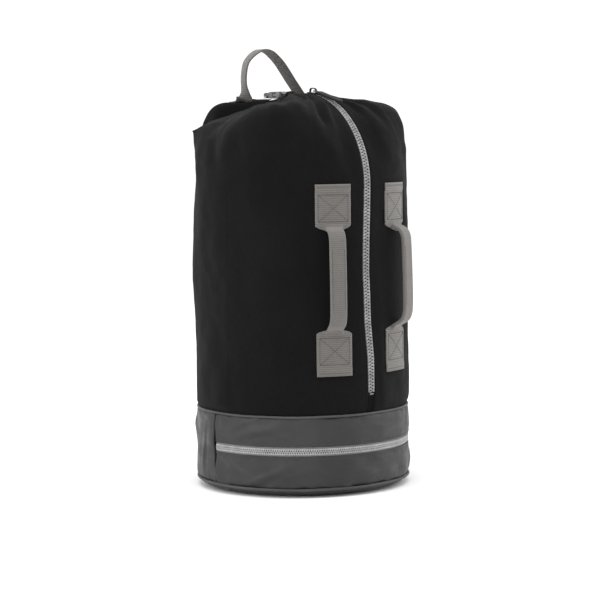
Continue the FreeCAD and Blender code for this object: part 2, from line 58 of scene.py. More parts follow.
BASE_ZIP_Z = 63.0
BASE_SLOT = (56.0, 70.0)
HANDLE_DEG = 21.0
LOOP_Y = 72.0
LOOP_ENDS = (-41.0, 59.0)


# ---- small maths ----------------------------------------------------------------------
def smooth(t):
    t = np.clip(t, 0.0, 1.0)
    return t * t * (3 - 2 * t)


def lerp(a, b, t):
    return a + (b - a) * t


def unit(v):
    return v / np.maximum(1e-9, np.linalg.norm(v, axis=-1, keepdims=True))


def around(deg, r):
    """Points at an azimuth in degrees and a radius, as x, y."""
    a = np.radians(deg)
    return np.stack([r * np.sin(a), -r * np.cos(a)], -1)


class Ripple:
    """A repeatable random field: a sum of sine waves with a chosen typical wavelength."""

    def __init__(self, seed, wavelength, stretch=(1, 1, 1), waves=28):
        rng = np.random.default_rng(seed)
        direction = unit(rng.normal(size=(waves, 3))) / np.array(stretch)
        self.k = direction * (2 * np.pi / (wavelength * rng.uniform(0.6, 1.6, (waves, 1))))
        self.phase = rng.uniform(0, 2 * np.pi, waves)
        self.gain = math.sqrt(2.0 / waves)

    def __call__(self, p):
        total = np.zeros(p.shape[:-1])
        for k, phase in zip(self.k, self.phase):
            total += np.sin(p @ k + phase)
        return total * self.gain


def curve_points(knots, count):
    """Catmull-Rom curve through knots, at count points evenly spread by length."""
    k = np.array(knots, float)
    k = np.vstack([2 * k[0] - k[1], k, 2 * k[-1] - k[-2]])
    out = []
    for i in range(1, len(k) - 2):
        t = np.linspace(0, 1, 24, endpoint=False)[:, None]
        a, b, c, d = k[i - 1], k[i], k[i + 1], k[i + 2]
        out.append(0.5 * (2 * b + (c - a) * t + (2 * a - 5 * b + 4 * c - d) * t**2
                          + (3 * b - a - 3 * c + d) * t**3))
    out = np.vstack(out + [k[-2][None]])
    return even(out, count)


def even(points, count):
    step = np.linalg.norm(np.diff(points, axis=0), axis=1)
    at = np.concatenate([[0], np.cumsum(step)])
    want = np.linspace(0, at[-1], count)
    return np.stack([np.interp(want, at, points[:, i]) for i in range(points.shape[1])], -1)


# ---- materials --------------------------------------------------------------------------
def srgb(value):
    """Linear colour of one or three 0-255 display values."""
    v = np.atleast_1d(np.array(value, float)) / 255
    lin = np.where(v <= 0.04045, v / 12.92, ((v + 0.055) / 1.055) ** 2.4)
    return tuple(float(x) for x in (np.repeat(lin, 3) if lin.size == 1 else lin)) + (1.0,)


class Nodes:
    """Short-hand for building a shader tree."""

    def __init__(self, name):
        self.mat = bpy.data.materials.new(name)
        self.mat.use_nodes = True
        self.tree = self.mat.node_tree
        self.shader = self.tree.nodes["Principled BSDF"]

    def add(self, kind, inputs=None, **props):
        node = self.tree.nodes.new("ShaderNode" + kind)
        for key, value in props.items():
            setattr(node, key, value)
        for key, value in (inputs or {}).items():
            if isinstance(value, bpy.types.NodeSocket):
                self.tree.links.new(value, node.inputs[key])
            else:
                node.inputs[key].default_value = value
        return node

    def math(self, op, a, b=0.0, c=0.0):
        return self.add("Math", {0: a, 1: b, 2: c}, operation=op).outputs[0]

    def mix(self, factor, a, b):
        node = self.tree.nodes.new("ShaderNodeMix")
        node.data_type = "RGBA"
        for key, value in ((0, factor), (6, a), (7, b)):
            if isinstance(value, bpy.types.NodeSocket):
                self.tree.links.new(value, node.inputs[key])
            else:
                node.inputs[key].default_value = value
        return node.outputs[2]

    def noise(self, vector, scale, detail=3.0, rough=0.5):
        node = self.add("TexNoise", {"Vector": vector, "Scale": scale, "Detail": detail, "Roughness": rough})
        return node.outputs[0]

    def place(self):
        return self.add("TexCoord").outputs["Object"]

    def cloth(self):
        """Position on the cloth in metres: x across the piece, y along it."""
        return self.add("Attribute", attribute_name="cloth").outputs["Vector"]

    def ramp(self, value, low, high, to_low=0.0, to_high=1.0):
        node = self.add("MapRange", {0: value, 1: low, 2: high, 3: to_low, 4: to_high})
        return node.outputs[0]

    def bump(self, height, distance, strength=1.0, normal=None):
        inputs = {"Height": height, "Distance": distance, "Strength": strength}
        if normal is not None:
            inputs["Normal"] = normal
        return self.add("Bump", inputs).outputs[0]

    def finish(self, color, rough, normal=None, **sockets):
        for key, value in (("Base Color", color), ("Roughness", rough), ("Normal", normal)):
            if value is None:
                continue
            if isinstance(value, bpy.types.NodeSocket):
                self.tree.links.new(value, self.shader.inputs[key])
            else:
                self.shader.inputs[key].default_value = value
        for key, value in sockets.items():
            self.shader.inputs[key.replace("_", " ")].default_value = value
        return self.mat


def threads(n, vector, pitch_x, pitch_y):
    """Plain weave height, 0 to 1: warp and weft threads that pass over and under in turn."""
    parts = n.add("SeparateXYZ", {0: vector})
    x = n.math("MULTIPLY", parts.outputs[0], math.pi / pitch_x)
    y = n.math("MULTIPLY", parts.outputs[1], math.pi / pitch_y)
    warp = n.math("ABSOLUTE", n.math("SINE", x))
    weft = n.math("ABSOLUTE", n.math("SINE", y))
    over = n.math("MULTIPLY", n.math("COSINE", x), n.math("COSINE", y))
    share = n.ramp(over, -0.35, 0.35)
    return n.math("ADD", n.math("MULTIPLY", warp, share),
                  n.math("MULTIPLY", weft, n.math("SUBTRACT", 1.0, share)))


def canvas(name, dark, light, pitch=0.0011, rough=0.9, sheen=0.02, gloss=0.12, under=None):
    """Plain-woven cloth; under gives a darker value for the strip of tape that lies below the zip's teeth: painted
    shade of the teeth on the tape.
    """
    n = Nodes(name)
    v, p = n.cloth(), n.place()
    weave = threads(n, v, pitch, pitch)
    slub_v = n.add("Mapping", {"Vector": v, "Scale": (1.0, 9.0, 1.0)}).outputs[0]
    slub_w = n.add("Mapping", {"Vector": v, "Scale": (9.0, 1.0, 1.0)}).outputs[0]
    slub = n.math("ADD", n.noise(slub_v, 110, 4), n.noise(slub_w, 110, 4))
    wash = n.noise(p, 11, 4, 0.55)
    lint = n.noise(p, 900, 2)
    tone = n.math("ADD", n.math("MULTIPLY", wash, 0.55), n.math("MULTIPLY", slub, 0.28))
    tone = n.ramp(n.math("ADD", tone, n.math("MULTIPLY", weave, 0.12)), 0.35, 0.85)
    color = n.mix(tone, srgb(dark), srgb(light))
    # painted shade: the strip of tape under the teeth is darkened in place of the teeth's shadow
    if under is not None:
        across = n.add("SeparateXYZ", {0: v}).outputs[0]
        color = n.mix(n.ramp(across, under[0], under[0] + 0.0006), srgb(under[1]), color)
    height = n.math("ADD", n.math("MULTIPLY", weave, 0.7), n.math("MULTIPLY", slub, 0.45))
    height = n.math("ADD", height, n.math("MULTIPLY", lint, 0.12))
    soft = n.bump(n.noise(p, 38, 4, 0.6), 0.0022, 0.6)
    normal = n.bump(height, 0.00022, 0.8, soft)
    return n.finish(color, n.ramp(wash, 0.3, 0.7, rough - 0.05, rough + 0.05), normal,
                    Sheen_Weight=sheen, Sheen_Roughness=0.45, Specular_IOR_Level=gloss)


def coated(name, dark, light, rough=0.48, sheen=0.0, gloss=0.32):
    """Woven fabric under a thin coating: fine grain, soft shine, small creases that catch light."""
    n = Nodes(name)
    v, p = n.cloth(), n.place()
    weave = threads(n, v, 0.0009, 0.0009)
    stretched = n.add("Mapping", {"Vector": v, "Scale": (1.0, 2.2, 1.0)}).outputs[0]
    crease = n.noise(stretched, 26, 5, 0.62)
    fine = n.noise(p, 320, 3)
    wash = n.noise(p, 14, 4, 0.5)
    color = n.mix(n.ramp(n.math("ADD", wash, n.math("MULTIPLY", fine, 0.25)), 0.4, 0.85), srgb(dark), srgb(light))
    soft = n.bump(crease, 0.0024, 0.5)
    height = n.math("ADD", n.math("MULTIPLY", weave, 0.5), fine)
    normal = n.bump(height, 0.00010, 0.7, soft)
    return n.finish(color, n.ramp(crease, 0.35, 0.65, rough - 0.07, rough + 0.08), normal,
                    Sheen_Weight=sheen, Sheen_Roughness=0.4, Specular_IOR_Level=gloss)


def webbing(name, dark, light, rib=0.0018, rough=0.72):
    """Nylon webbing: rows of weft across it, fine ribs along it, and short floats of yarn."""
    n = Nodes(name)
    v, p = n.cloth(), n.place()
    parts = n.add("SeparateXYZ", {0: v})
    x = n.math("MULTIPLY", parts.outputs[0], math.pi / rib)
    ribs = n.math("POWER", n.math("ABSOLUTE", n.math("SINE", x)), 0.6)
    rows = n.math("MULTIPLY", parts.outputs[1], math.pi / 0.0028)
    rows = n.math("POWER", n.math("ABSOLUTE", n.math("SINE", rows)), 0.7)
    side = n.math("SIGN", n.math("SINE", x))
    slant = n.math("ADD", n.math("MULTIPLY", parts.outputs[1], math.pi / 0.0016), n.math("MULTIPLY", side, 1.2))
    yarn = n.math("ABSOLUTE", n.math("SINE", slant))
    fuzz = n.noise(p, 700, 3)
    wash = n.noise(p, 60, 3)
    tone = n.math("ADD", n.math("MULTIPLY", ribs, 0.25), n.math("MULTIPLY", yarn, 0.15))
    tone = n.math("ADD", tone, n.math("MULTIPLY", rows, 0.35))
    tone = n.math("ADD", tone, n.math("MULTIPLY", fuzz, 0.3))
    tone = n.math("ADD", tone, n.math("MULTIPLY", wash, 0.25))
    color = n.mix(n.ramp(tone, 0.3, 1.05), srgb(dark), srgb(light))
    height = n.math("ADD", n.math("MULTIPLY", ribs, 0.5), n.math("MULTIPLY", yarn, 0.3))
    height = n.math("ADD", height, rows)
    height = n.math("ADD", height, n.math("MULTIPLY", fuzz, 0.2))
    return n.finish(color, rough, n.bump(height, 0.0005, 0.9), Sheen_Weight=0.3, Sheen_Roughness=0.5,
                    Specular_IOR_Level=0.35)


def moulded(name, dark, light, rough=0.42, grain=600, depth=0.00006, **sockets):
    n = Nodes(name)
    p = n.place()
    fine = n.noise(p, grain, 3)
    wear = n.noise(p, 90, 4)
    color = n.mix(n.ramp(wear, 0.35, 0.7), srgb(dark), srgb(light))
    return n.finish(color, n.ramp(wear, 0.3, 0.7, rough - 0.06, rough + 0.08), n.bump(fine, depth, 0.8), **sockets)


BLACK = canvas("black_canvas", 7, 21, sheen=0.035, gloss=0.07)
# the back panel's canvas is a darker black than the front's: painted shade for the crown behind the hood, which lies in
# shadow
BLACK_BACK_PAINTED_SHADE = canvas("black_canvas_back_painted_shade", 6, 17, gloss=0.05)
BLACK_HEM = canvas("black_canvas_hem", 7, 14, gloss=0.06)
GREY = coated("grey_coated_fabric", 34, 47)
PIPING = coated("piping_fabric", 52, 66, rough=0.5)
LINING = canvas("lining", 30, 38)
WEB = webbing("grey_webbing", (63, 61, 59), (108, 104, 100))
WEB_LOOP = webbing("haul_webbing", (47, 45, 43), (88, 85, 81))
WEB_STRAP = webbing("strap_webbing", (62, 60, 58), (100, 97, 93))
# the dark strip under the teeth on both tapes is painted shade
TAPE = canvas("zip_tape_weave", 100, 122, pitch=0.0008, sheen=0.1, under=(0.0036, 30))
BASE_TAPE = canvas("base_zip_tape_weave", 112, 134, pitch=0.0008, sheen=0.1, under=(0.0024, 56))
TEETH = moulded("main_teeth_plastic", 112, 140, rough=0.38)
BASE_TEETH = moulded("base_teeth_plastic", 138, 160, rough=0.38)
METAL = moulded("dark_metal", 44, 58, rough=0.3, grain=300, depth=0.00003, Metallic=0.9)
BRIGHT = moulded("worn_metal", 120, 150, rough=0.28, grain=300, depth=0.00003, Metallic=0.9)
RUBBER = moulded("puller_rubber", 26, 37, rough=0.6, Specular_IOR_Level=0.2)
BUCKLE = moulded("buckle_plastic", 104, 124, rough=0.4)
BOARD = moulded("board_plastic", 40, 50)
THREAD_GREY = moulded("grey_thread", 44, 62, rough=0.8)
THREAD_BLACK = moulded("black_thread", 16, 24, rough=0.85, Specular_IOR_Level=0.15)
THREAD_BASE = moulded("base_thread", 58, 74, rough=0.8, Specular_IOR_Level=0.2)


# ---- mesh helpers -------------------------------------------------------------------------
def obj_from(name, verts, faces, material, body, cloth=None, replaces=(), outward=False):
    mesh = bpy.data.meshes.new(name)
    mesh.from_pydata((np.asarray(verts) * MM).tolist(), [], faces)
    mesh.materials.append(material)
    mesh.shade_smooth()
    if cloth is not None:
        layer = mesh.attributes.new("cloth", "FLOAT_VECTOR", "POINT")
        flat = np.zeros((len(verts), 3), np.float32)
        flat[:, :2] = np.asarray(cloth, np.float32).reshape(-1, 2) * MM
        layer.data.foreach_set("vector", flat.ravel())
    mesh.validate()
    if outward:
        work = bmesh.new()
        work.from_mesh(mesh)
        bmesh.ops.recalc_face_normals(work, faces=work.faces)
        work.to_mesh(mesh)
        work.free()
    mesh.update()
    obj = bpy.data.objects.new(name, mesh)
    bpy.context.scene.collection.objects.link(obj)
    if body:
        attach(obj, body)
    if replaces:
        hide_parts(*replaces)
    return obj


def grid_faces(rows, cols, closed=False, flip=False, start=0):
    faces = []
    span = cols if closed else cols - 1
    for i in range(rows - 1):
        for j in range(span):
            k = (j + 1) % cols
            f = (start + i * cols + j, start + i * cols + k, start + (i + 1) * cols + k, start + (i + 1) * cols + j)
            faces.append(f[::-1] if flip else f)
    return faces


def sheet(name, points, material, body, thick=1.2, offset=-1.0, closed=False, flip=False, cloth=None,
          replaces=()):
    """A fabric sheet from a grid of points (rows, columns, 3), given thickness."""
    rows, cols = points.shape[:2]
    if cloth is None:
        across = np.linalg.norm(np.diff(points, axis=1), axis=2)
        along = np.linalg.norm(np.diff(points, axis=0), axis=2)
        u = np.concatenate([np.zeros((rows, 1)), np.cumsum(across, 1)], 1)
        v = np.concatenate([np.zeros((1, cols)), np.cumsum(along, 0)], 0)
        cloth = np.stack([np.tile(u[rows // 3], (rows, 1)), v], -1)
    obj = obj_from(name, points.reshape(-1, 3), grid_faces(rows, cols, closed, flip), material, body,
                   cloth.reshape(-1, 2), replaces)
    if thick:
        mod = obj.modifiers.new("thickness", "SOLIDIFY")
        mod.thickness = thick * MM
        mod.offset = offset
        mod.use_even_offset = False
    return obj


def add_bevel(obj, width, segments=2, angle=35):
    mod = obj.modifiers.new("edges", "BEVEL")
    mod.width = width * MM
    mod.segments = segments
    mod.limit_method = "ANGLE"
    mod.angle_limit = math.radians(angle)
    return obj


def sweep(path, normal, outline, twist=None):
    """Points of a closed outline (across, out) carried along a path; normal is 'out' at each point."""
    path, normal = np.asarray(path, float), unit(np.asarray(normal, float))
    along = unit(np.gradient(path, axis=0))
    normal = unit(normal - along * np.sum(normal * along, 1, keepdims=True))
    across = np.cross(along, normal)
    if twist is not None:
        c, s = np.cos(twist)[:, None], np.sin(twist)[:, None]
        across, normal = across * c + normal * s, normal * c - across * s
    o = np.asarray(outline, float)
    if o.ndim == 2:
        o = np.tile(o, (len(path), 1, 1))
    return path[:, None] + across[:, None] * o[..., :1] + normal[:, None] * o[..., 1:2]


def tube(name, points, material, body, caps=True, closed=False, cloth=None, replaces=()):
    """A closed skin from rings of points (rings, points round, 3)."""
    rows, cols = points.shape[:2]
    faces = grid_faces(rows, cols, closed=True)
    if closed:
        last = (rows - 1) * cols
        faces += [(last + j, last + (j + 1) % cols, (j + 1) % cols, j) for j in range(cols)]
    elif caps:
        faces.append(tuple(range(cols))[::-1])
        faces.append(tuple((rows - 1) * cols + j for j in range(cols)))
    if cloth is None:
        ring = np.linalg.norm(np.diff(points[0], axis=0, append=points[0][:1]), axis=1)
        u = np.concatenate([[0], np.cumsum(ring)[:-1]])
        v = np.concatenate([[0], np.cumsum(np.linalg.norm(np.diff(points[:, 0], axis=0), axis=1))])
        cloth = np.stack(np.broadcast_arrays(u[None], v[:, None]), -1)
    return obj_from(name, points.reshape(-1, 3), faces, material, body, cloth.reshape(-1, 2), replaces,
                    outward=True)


def rounded(width, height, corner=0.8, per=5):
    """Outline of a rounded rectangle, centred."""
    pts = []
    for cx, cy, a0 in ((1, 1, 0), (-1, 1, 90), (-1, -1, 180), (1, -1, 270)):
        for a in np.radians(np.linspace(a0, a0 + 90, per)):
            pts.append((cx * (width / 2 - corner) + corner * math.cos(a),
                        cy * (height / 2 - corner) + corner * math.sin(a)))
    return np.array(pts)


class Batch:
    """Collects many small repeated pieces into one mesh."""

    def __init__(self):
        self.verts, self.faces, self.count = [], [], 0

    def add(self, verts, faces):
        self.verts.append(verts)
        self.faces += [tuple(self.count + i for i in f) for f in faces]
        self.count += len(verts)

    def build(self, name, material, body, slot=None, replaces=()):
        return obj_from(name, np.vstack(self.verts), self.faces, material, body, replaces=replaces,
                        outward=True)


STITCH_OUTLINE = [(math.cos(a), math.sin(a)) for a in np.radians(np.arange(0, 360, 60))]


def stitch(batch, a, b, out, radius=0.32, sink=0.1):
    """One stitch from a to b: a short thread that dives into the cloth at both ends."""
    along = b - a
    side = np.cross(out, along)
    side = side / max(1e-9, np.linalg.norm(side))
    rings = []
    for t, lift, k in ((0.0, -0.3, 0.55), (0.18, 0.12, 1.0), (0.5, 0.22, 1.1), (0.82, 0.12, 1.0), (1.0, -0.3, 0.55)):
        c = a + along * t + out * (lift - sink)
        rings.append([c + side * (x * radius * k) + out * (y * radius * k) for x, y in STITCH_OUTLINE])
    faces = grid_faces(5, 6, closed=True, flip=True)
    batch.add(np.array(rings).reshape(-1, 3), faces)


def stitch_line(batch, path, normals, pitch=3.0, fill=0.72, radius=0.32):
    """Stitches at an even pitch along a path of points."""
    path, normals = np.asarray(path, float), unit(np.asarray(normals, float))
    at = np.concatenate([[0], np.cumsum(np.linalg.norm(np.diff(path, axis=0), axis=1))])
    count = max(1, int(at[-1] / pitch))
    real = at[-1] / count
    for i in range(count):
        ends = []
        for s in (i * real + real * (1 - fill) / 2, (i + 1) * real - real * (1 - fill) / 2):
            ends.append(np.array([np.interp(s, at, path[:, c]) for c in range(3)]))
        mid = np.array([np.interp((i + 0.5) * real, at, normals[:, c]) for c in range(3)])
        stitch(batch, ends[0], ends[1], mid / np.linalg.norm(mid), radius)


# ---- the body's cloth surface ----------------------------------------------------------------
EAR = around(SEAM_DEG, BAG_R)
RIDGE_T = [0, 0.10, 0.21, 0.34, 0.50, 0.64, 0.75, 0.86, 1.0]
RIDGE_Z = [498, 505, 512, 518, 525, 531, 535, 537.5, 538]
ZIP_WANDER_Z = [112, 150, 187, 209, 235, 272, 305, 337, 396, 440, 470]
ZIP_WANDER_X = [2.6, 3.0, 2.6, 0.3, -2.2, -3.2, -4.6, -4.0, -1.6, -0.4, 0.0]
SLOT_HALF = 7.0

soft_dents = Ripple(3, 120, (1, 1, 1.7))
mid_dents = Ripple(8, 52, (1, 1, 2.2))
small_dents = Ripple(15, 21, (1, 1, 1.3))


def cloth_dents(p):
    """Soft unevenness of filled canvas, stronger over the shoulders."""
    dent = 0.95 * soft_dents(p) + 0.55 * mid_dents(p) + 0.16 * small_dents(p)
    return dent * (1 + 1.1 * smooth((p[..., 2] - 420) / 60))


def zip_wander(z):
    return np.interp(z, ZIP_WANDER_Z, ZIP_WANDER_X)


def ridge(t, side):
    """Point of the hood's folded edge: t is 0 at the ear and 1 at the knot."""
    t = np.asarray(t, float)
    ear = np.array([EAR[0] * side, EAR[1]])
    plan = ear + (KNOT - ear) * t[..., None]
    return np.concatenate([plan, np.interp(t, RIDGE_T, RIDGE_Z)[..., None]], -1)


def wall_r(deg, z):
    """Radius of the hanging cloth wall, without its dents."""
    pinch = 2.6 * np.exp(-(z - BODY_Z) / 4.5)
    belly = 0.9 * np.exp(-((z - 140) / 30) ** 2)
    back = 0.6 * np.sin(np.radians(3 * deg + 40)) * smooth((np.abs(deg) - 60) / 30)
    taper = -3.5 * smooth((z - 380) / 90) * smooth((np.abs(deg) - 30) / 20)
    taper = taper - 1.8 * smooth((z - 420) / 70) * smooth((np.abs(deg) - 85) / 30)
    return BAG_R - 0.3 - pinch + belly + back + taper


# creases in the front panels: azimuth at the wall, its spread, depth, and the reach from the knot
CREASES = [(-17, 3.2, 4.6, 0.95), (-31, 3.6, 3.2, 0.8), (-47, 4.5, 3.2, 0.8), (-66, 5.0, 2.6, 0.65),
           (-84, 4.0, 2.0, 0.5), (15, 3.0, 3.4, 0.8), (27, 3.4, 3.2, 0.9), (43, 4.0, 3.2, 0.75), (63, 5.0, 2.6, 0.7),
           (82, 4.0, 2.0, 0.5), (-8.5, 1.8, 1.4, 0.6), (8.0, 1.8, 1.2, 0.6)]


def front_cloth(side, cols=190, wall_rows=74, top_rows=120):
    """Grid of a front panel: from the zip round to the ear's seam, and up to the hood's edge."""
    lin = np.linspace(0, 1, cols)
    deg = SEAM_DEG * (0.55 * lin + 0.45 * lin**1.9)
    n = np.interp(deg, [0, 12, 30, 52, 66, 90, 110, 125], [2.7, 2.9, 4.4, 9.0, 8.0, 4.2, 3.4, 3.0])
    rim = np.interp(deg, [0, 20, 38, 52, 60, 75, 90, 110, 125], [545, 543, 540, 536, 530, 519, 509, 500, 496])
    start_z = np.interp(deg, [0, 52, 100, 125], [390, 390, 400, 430])
    t = np.clip((SEAM_DEG - deg) / 62.0, 0, 1) ** 1.15
    end = ridge(t, side)
    wall = around(deg * side, BAG_R)
    gather = np.interp(t, [0.8, 1.0], [0, 1])[:, None]
    toward = unit(wall - KNOT)
    end[:, :2] = lerp(end[:, :2], KNOT + toward * 7.5, gather)
    end[:, 2] = lerp(end[:, 2], 545.5 + 3.5 * np.exp(-(deg / 30) ** 2), smooth((t - 0.9) / 0.1))
    rows = []
    for i in range(wall_rows):
        s = i / wall_rows
        z = lerp(BODY_Z, start_z, s**0.9)
        rows.append(np.concatenate([around(deg * side, wall_r(deg, z)), z[:, None]], -1))
    radius0 = wall_r(deg, start_z)
    foot = around(deg * side, radius0)
    for i in range(top_rows + 1):
        a = math.pi / 2 * i / top_rows
        h = np.maximum(1e-6, math.cos(a)) ** (2 / n)
        v = math.sin(a) ** (2 / n)
        plan = end[:, :2] + (foot - end[:, :2]) * h[:, None]
        z = start_z + (rim - start_z) * v + (end[:, 2] - rim) * (1 - h) ** 1.15
        rows.append(np.concatenate([plan, z[:, None]], -1))
    p = np.array(rows)
    # in front of the hood's raised edge the cloth is drawn down into a hollow beside the knot
    gap = np.linalg.norm(p[..., :2] - end[None, :, :2], axis=-1)
    hollow = 12.0 * smooth((t - 0.55) / 0.2) * smooth((deg - 38) / 16)
    p[..., 2] -= hollow * np.exp(-((gap - 14) / 8) ** 2) * (p[..., 2] > 480)
    # resample the upper part evenly by length, so the shoulder's corner is well covered
    for j in range(cols):
        p[:, j] = even(p[:, j], len(p))
    # beside the zip the cloth follows the zip's own arc
    arc_z = ARC_Z + np.sqrt(np.maximum(0, ARC_R**2 - np.minimum(0, p[..., 1] - ARC_Y) ** 2))
    near = np.exp(-(np.abs(p[..., 0]) / 30) ** 2) * smooth((20 - p[..., 1]) / 30)
    high = p[..., 2] > ARC_Z - 30
    wanted_y = ARC_Y - np.sqrt(np.maximum(0, ARC_R**2 - np.maximum(0, p[..., 2] - ARC_Z) ** 2))
    steep = smooth((p[..., 2] - 500) / 16)
    new_z = lerp(p[..., 2], np.where(p[..., 1] < ARC_Y, arc_z, ARC_Z + ARC_R), near)
    new_y = lerp(p[..., 1], wanted_y, near)
    p[..., 2] = np.where(high, lerp(p[..., 2], new_z, steep), p[..., 2])
    p[..., 1] = np.where(high & (p[..., 1] < ARC_Y), lerp(new_y, p[..., 1], steep), p[..., 1])
    # dents and creases
    share = np.ones_like(p[..., 0]) * (deg * side)[None]
    to_knot = np.linalg.norm(p[..., :2] - KNOT, axis=-1) + np.maximum(0, 540 - p[..., 2]) * 0.9
    quiet = 1 - np.exp(-(np.maximum(0, np.abs(p[..., 0]) - 6) / 13) ** 2)
    quiet = quiet * smooth((p[..., 2] - BODY_Z) / 14)
    dent = cloth_dents(p)
    for at, spread, depth, reach in CREASES:
        if at * side < 0:
            continue
        length = 230 * reach
        bend = at + 5 * np.sin(to_knot / 55 + at)
        fade = smooth((length - to_knot) / 90) * smooth((to_knot - 6) / 20)
        width = spread * (1 + 12 / (to_knot + 12))
        d = (share - bend) / width
        dent += 1.5 * depth * fade * (0.55 * np.exp(-((d - 1.7) ** 2)) - np.exp(-(d**2)))
    pleats = np.cos(share / 4.6 + 0.7 * np.sin(share / 17)) * 1.5 * np.exp(-to_knot / 26)
    sewn = np.exp(-(((np.abs(share) - HANDLE_DEG) / 12.5) ** 6)) * smooth((p[..., 2] - 150) / 14) * smooth((440 - p[..., 2]) / 16)
    dent = (dent + pleats) * quiet * (1 - sewn)
    normal = surface_normal(p, side)
    p = p + normal * dent[..., None]
    # open the slot for the zip, and let it wander a little
    open_share = 1 - smooth((p[..., 1] + 22) / 15)
    slot = SLOT_HALF * open_share
    x = np.abs(p[..., 0])
    moved = np.sqrt(x**2 + slot**2)
    wander = zip_wander(p[..., 2]) * np.exp(-(x / 30) ** 2)
    p[..., 0] = side * moved + wander
    on_wall = p[..., 2] < ARC_Z
    reach_y = -np.sqrt(np.maximum(1, p[..., 1] ** 2 + x**2 - moved**2))
    p[..., 1] = np.where(on_wall & (deg[None] < 80), reach_y, p[..., 1])
    return p, deg


def surface_normal(p, side=1):
    n = np.cross(np.gradient(p, axis=1), np.gradient(p, axis=0))
    n = unit(n) * side
    return n


def back_cloth(cols=150, wall_rows=74, top_rows=120):
    """Grid of the back panel: between the ears' seams, over the back shoulder, down behind the hood."""
    lin = np.linspace(-1, 1, cols)
    off = (180 - SEAM_DEG) * lin          # from the middle of the back
    deg = 180 - off
    near_ear = np.abs(lin)
    t = 1 - near_ear ** 1.6
    side = np.where(deg > 180, -1.0, 1.0)
    end = np.array([ridge(a, s) for a, s in zip(t, side)])
    top_z = lerp(538.5, 497.0, smooth((near_ear - 0.5) / 0.5) ** 1.5)
    sink = np.interp(near_ear, [0, 0.15, 0.8, 0.94, 1.0], [6, 13, 7, 1.5, 0.5])
    start_z = np.interp(near_ear, [0, 0.7, 1.0], [400, 420, 430])
    n = np.interp(near_ear, [0, 0.5, 0.75, 1.0], [5.0, 5.2, 2.7, 2.4])
    rows = []
    for i in range(wall_rows):
        z = lerp(BODY_Z, start_z, (i / wall_rows) ** 0.9)
        rows.append(np.concatenate([around(deg, wall_r(deg, z)), z[:, None]], -1))
    foot = around(deg, wall_r(deg, start_z))
    for i in range(top_rows + 1):
        a = math.pi / 2 * i / top_rows
        h = np.maximum(1e-6, math.cos(a)) ** (2 / n)
        v = math.sin(a) ** (2 / n)
        plan = end[:, :2] + (foot - end[:, :2]) * h[:, None]
        z = start_z + (top_z - start_z) * v
        rows.append(np.concatenate([plan, z[:, None]], -1))
    p = np.array(rows)
    for j in range(cols):
        p[:, j] = even(p[:, j], len(p))
    # the cloth dips under the hood's edge
    gap = np.linalg.norm(p[..., :2] - end[None, :, :2], axis=-1)
    drop = np.maximum(0, top_z - (end[:, 2] - sink))
    is_top = smooth((p[..., 2] - start_z) / 40)
    p[..., 2] -= is_top * drop[None] * np.exp(-(gap / 15) ** 2)
    # the haul loop's sewn feet press the cloth down
    for x in LOOP_ENDS:
        press = ((p[..., 0] - x) / 17) ** 4 + ((p[..., 1] - LOOP_Y - 11) / 17) ** 4
        p[..., 2] -= 3.6 * np.exp(-press) * is_top
    quiet = smooth((p[..., 2] - BODY_Z) / 14)
    dent = cloth_dents(p) * quiet
    p = p + surface_normal(p, -1) * dent[..., None]
    # a flat bed under the closure strap and its buckle
    bed = 539.2 + 0.05 * np.maximum(0, np.abs(p[..., 0]) - 10) ** 2
    p[..., 2] = np.where(p[..., 1] > 28, np.minimum(p[..., 2], bed), p[..., 2])
    return p, deg


def hem(points, normal, toward, drop, width=0.7, count=4):
    """Extra columns before the first one: the cloth's edge rolls over and down."""
    cols = []
    for i in range(count):
        a = math.pi / 2 * (1 - i / count)
        cols.append(points[:, 0] + toward * (width * math.sin(a)) - normal * (drop * (1 - math.cos(a))))
    return np.concatenate([np.stack(cols, 1), points], 1)


front = {}
for side_name, side in (("left", -1), ("right", 1)):
    pts, _ = front_cloth(side)
    front[side_name] = pts
    edge_normal = surface_normal(pts, side)[:, 0]
    inward = np.zeros_like(edge_normal)
    inward[:, 0] = -side
    rolled = hem(pts, edge_normal, inward, 2.4)
    # the hood's edge rolls over and tucks down behind itself
    last = rolled[-1]
    back_way = np.zeros_like(last)
    back_way[:, 0], back_way[:, 1] = 0.42 * side, 0.9
    roll = smooth(np.linspace(1, 0, len(last)) / 0.12)[:, None]
    extra = [last + roll * (back_way * out - [0, 0, down])
             for out, down in ((1.6, 0.7), (2.4, 3.0), (2.0, 7.0), (0.5, 12.0))]
    extra = [row - [0, 0, 0.4 * (i + 1)] * (1 - roll) for i, row in enumerate(extra)]
    rolled = np.concatenate([rolled, np.array(extra)], 0)
    sheet(f"body_{side_name}_cloth", rolled, BLACK, "bag", thick=1.3, flip=side < 0,
          replaces=[f"body_{side_name}_panel"])
back_pts, back_deg = back_cloth()
# the back panel takes the darker canvas, which is painted shade
sheet("body_back_cloth", back_pts, BLACK_BACK_PAINTED_SHADE, "bag", thick=1.3, flip=True,
      replaces=["body_back_panel"])


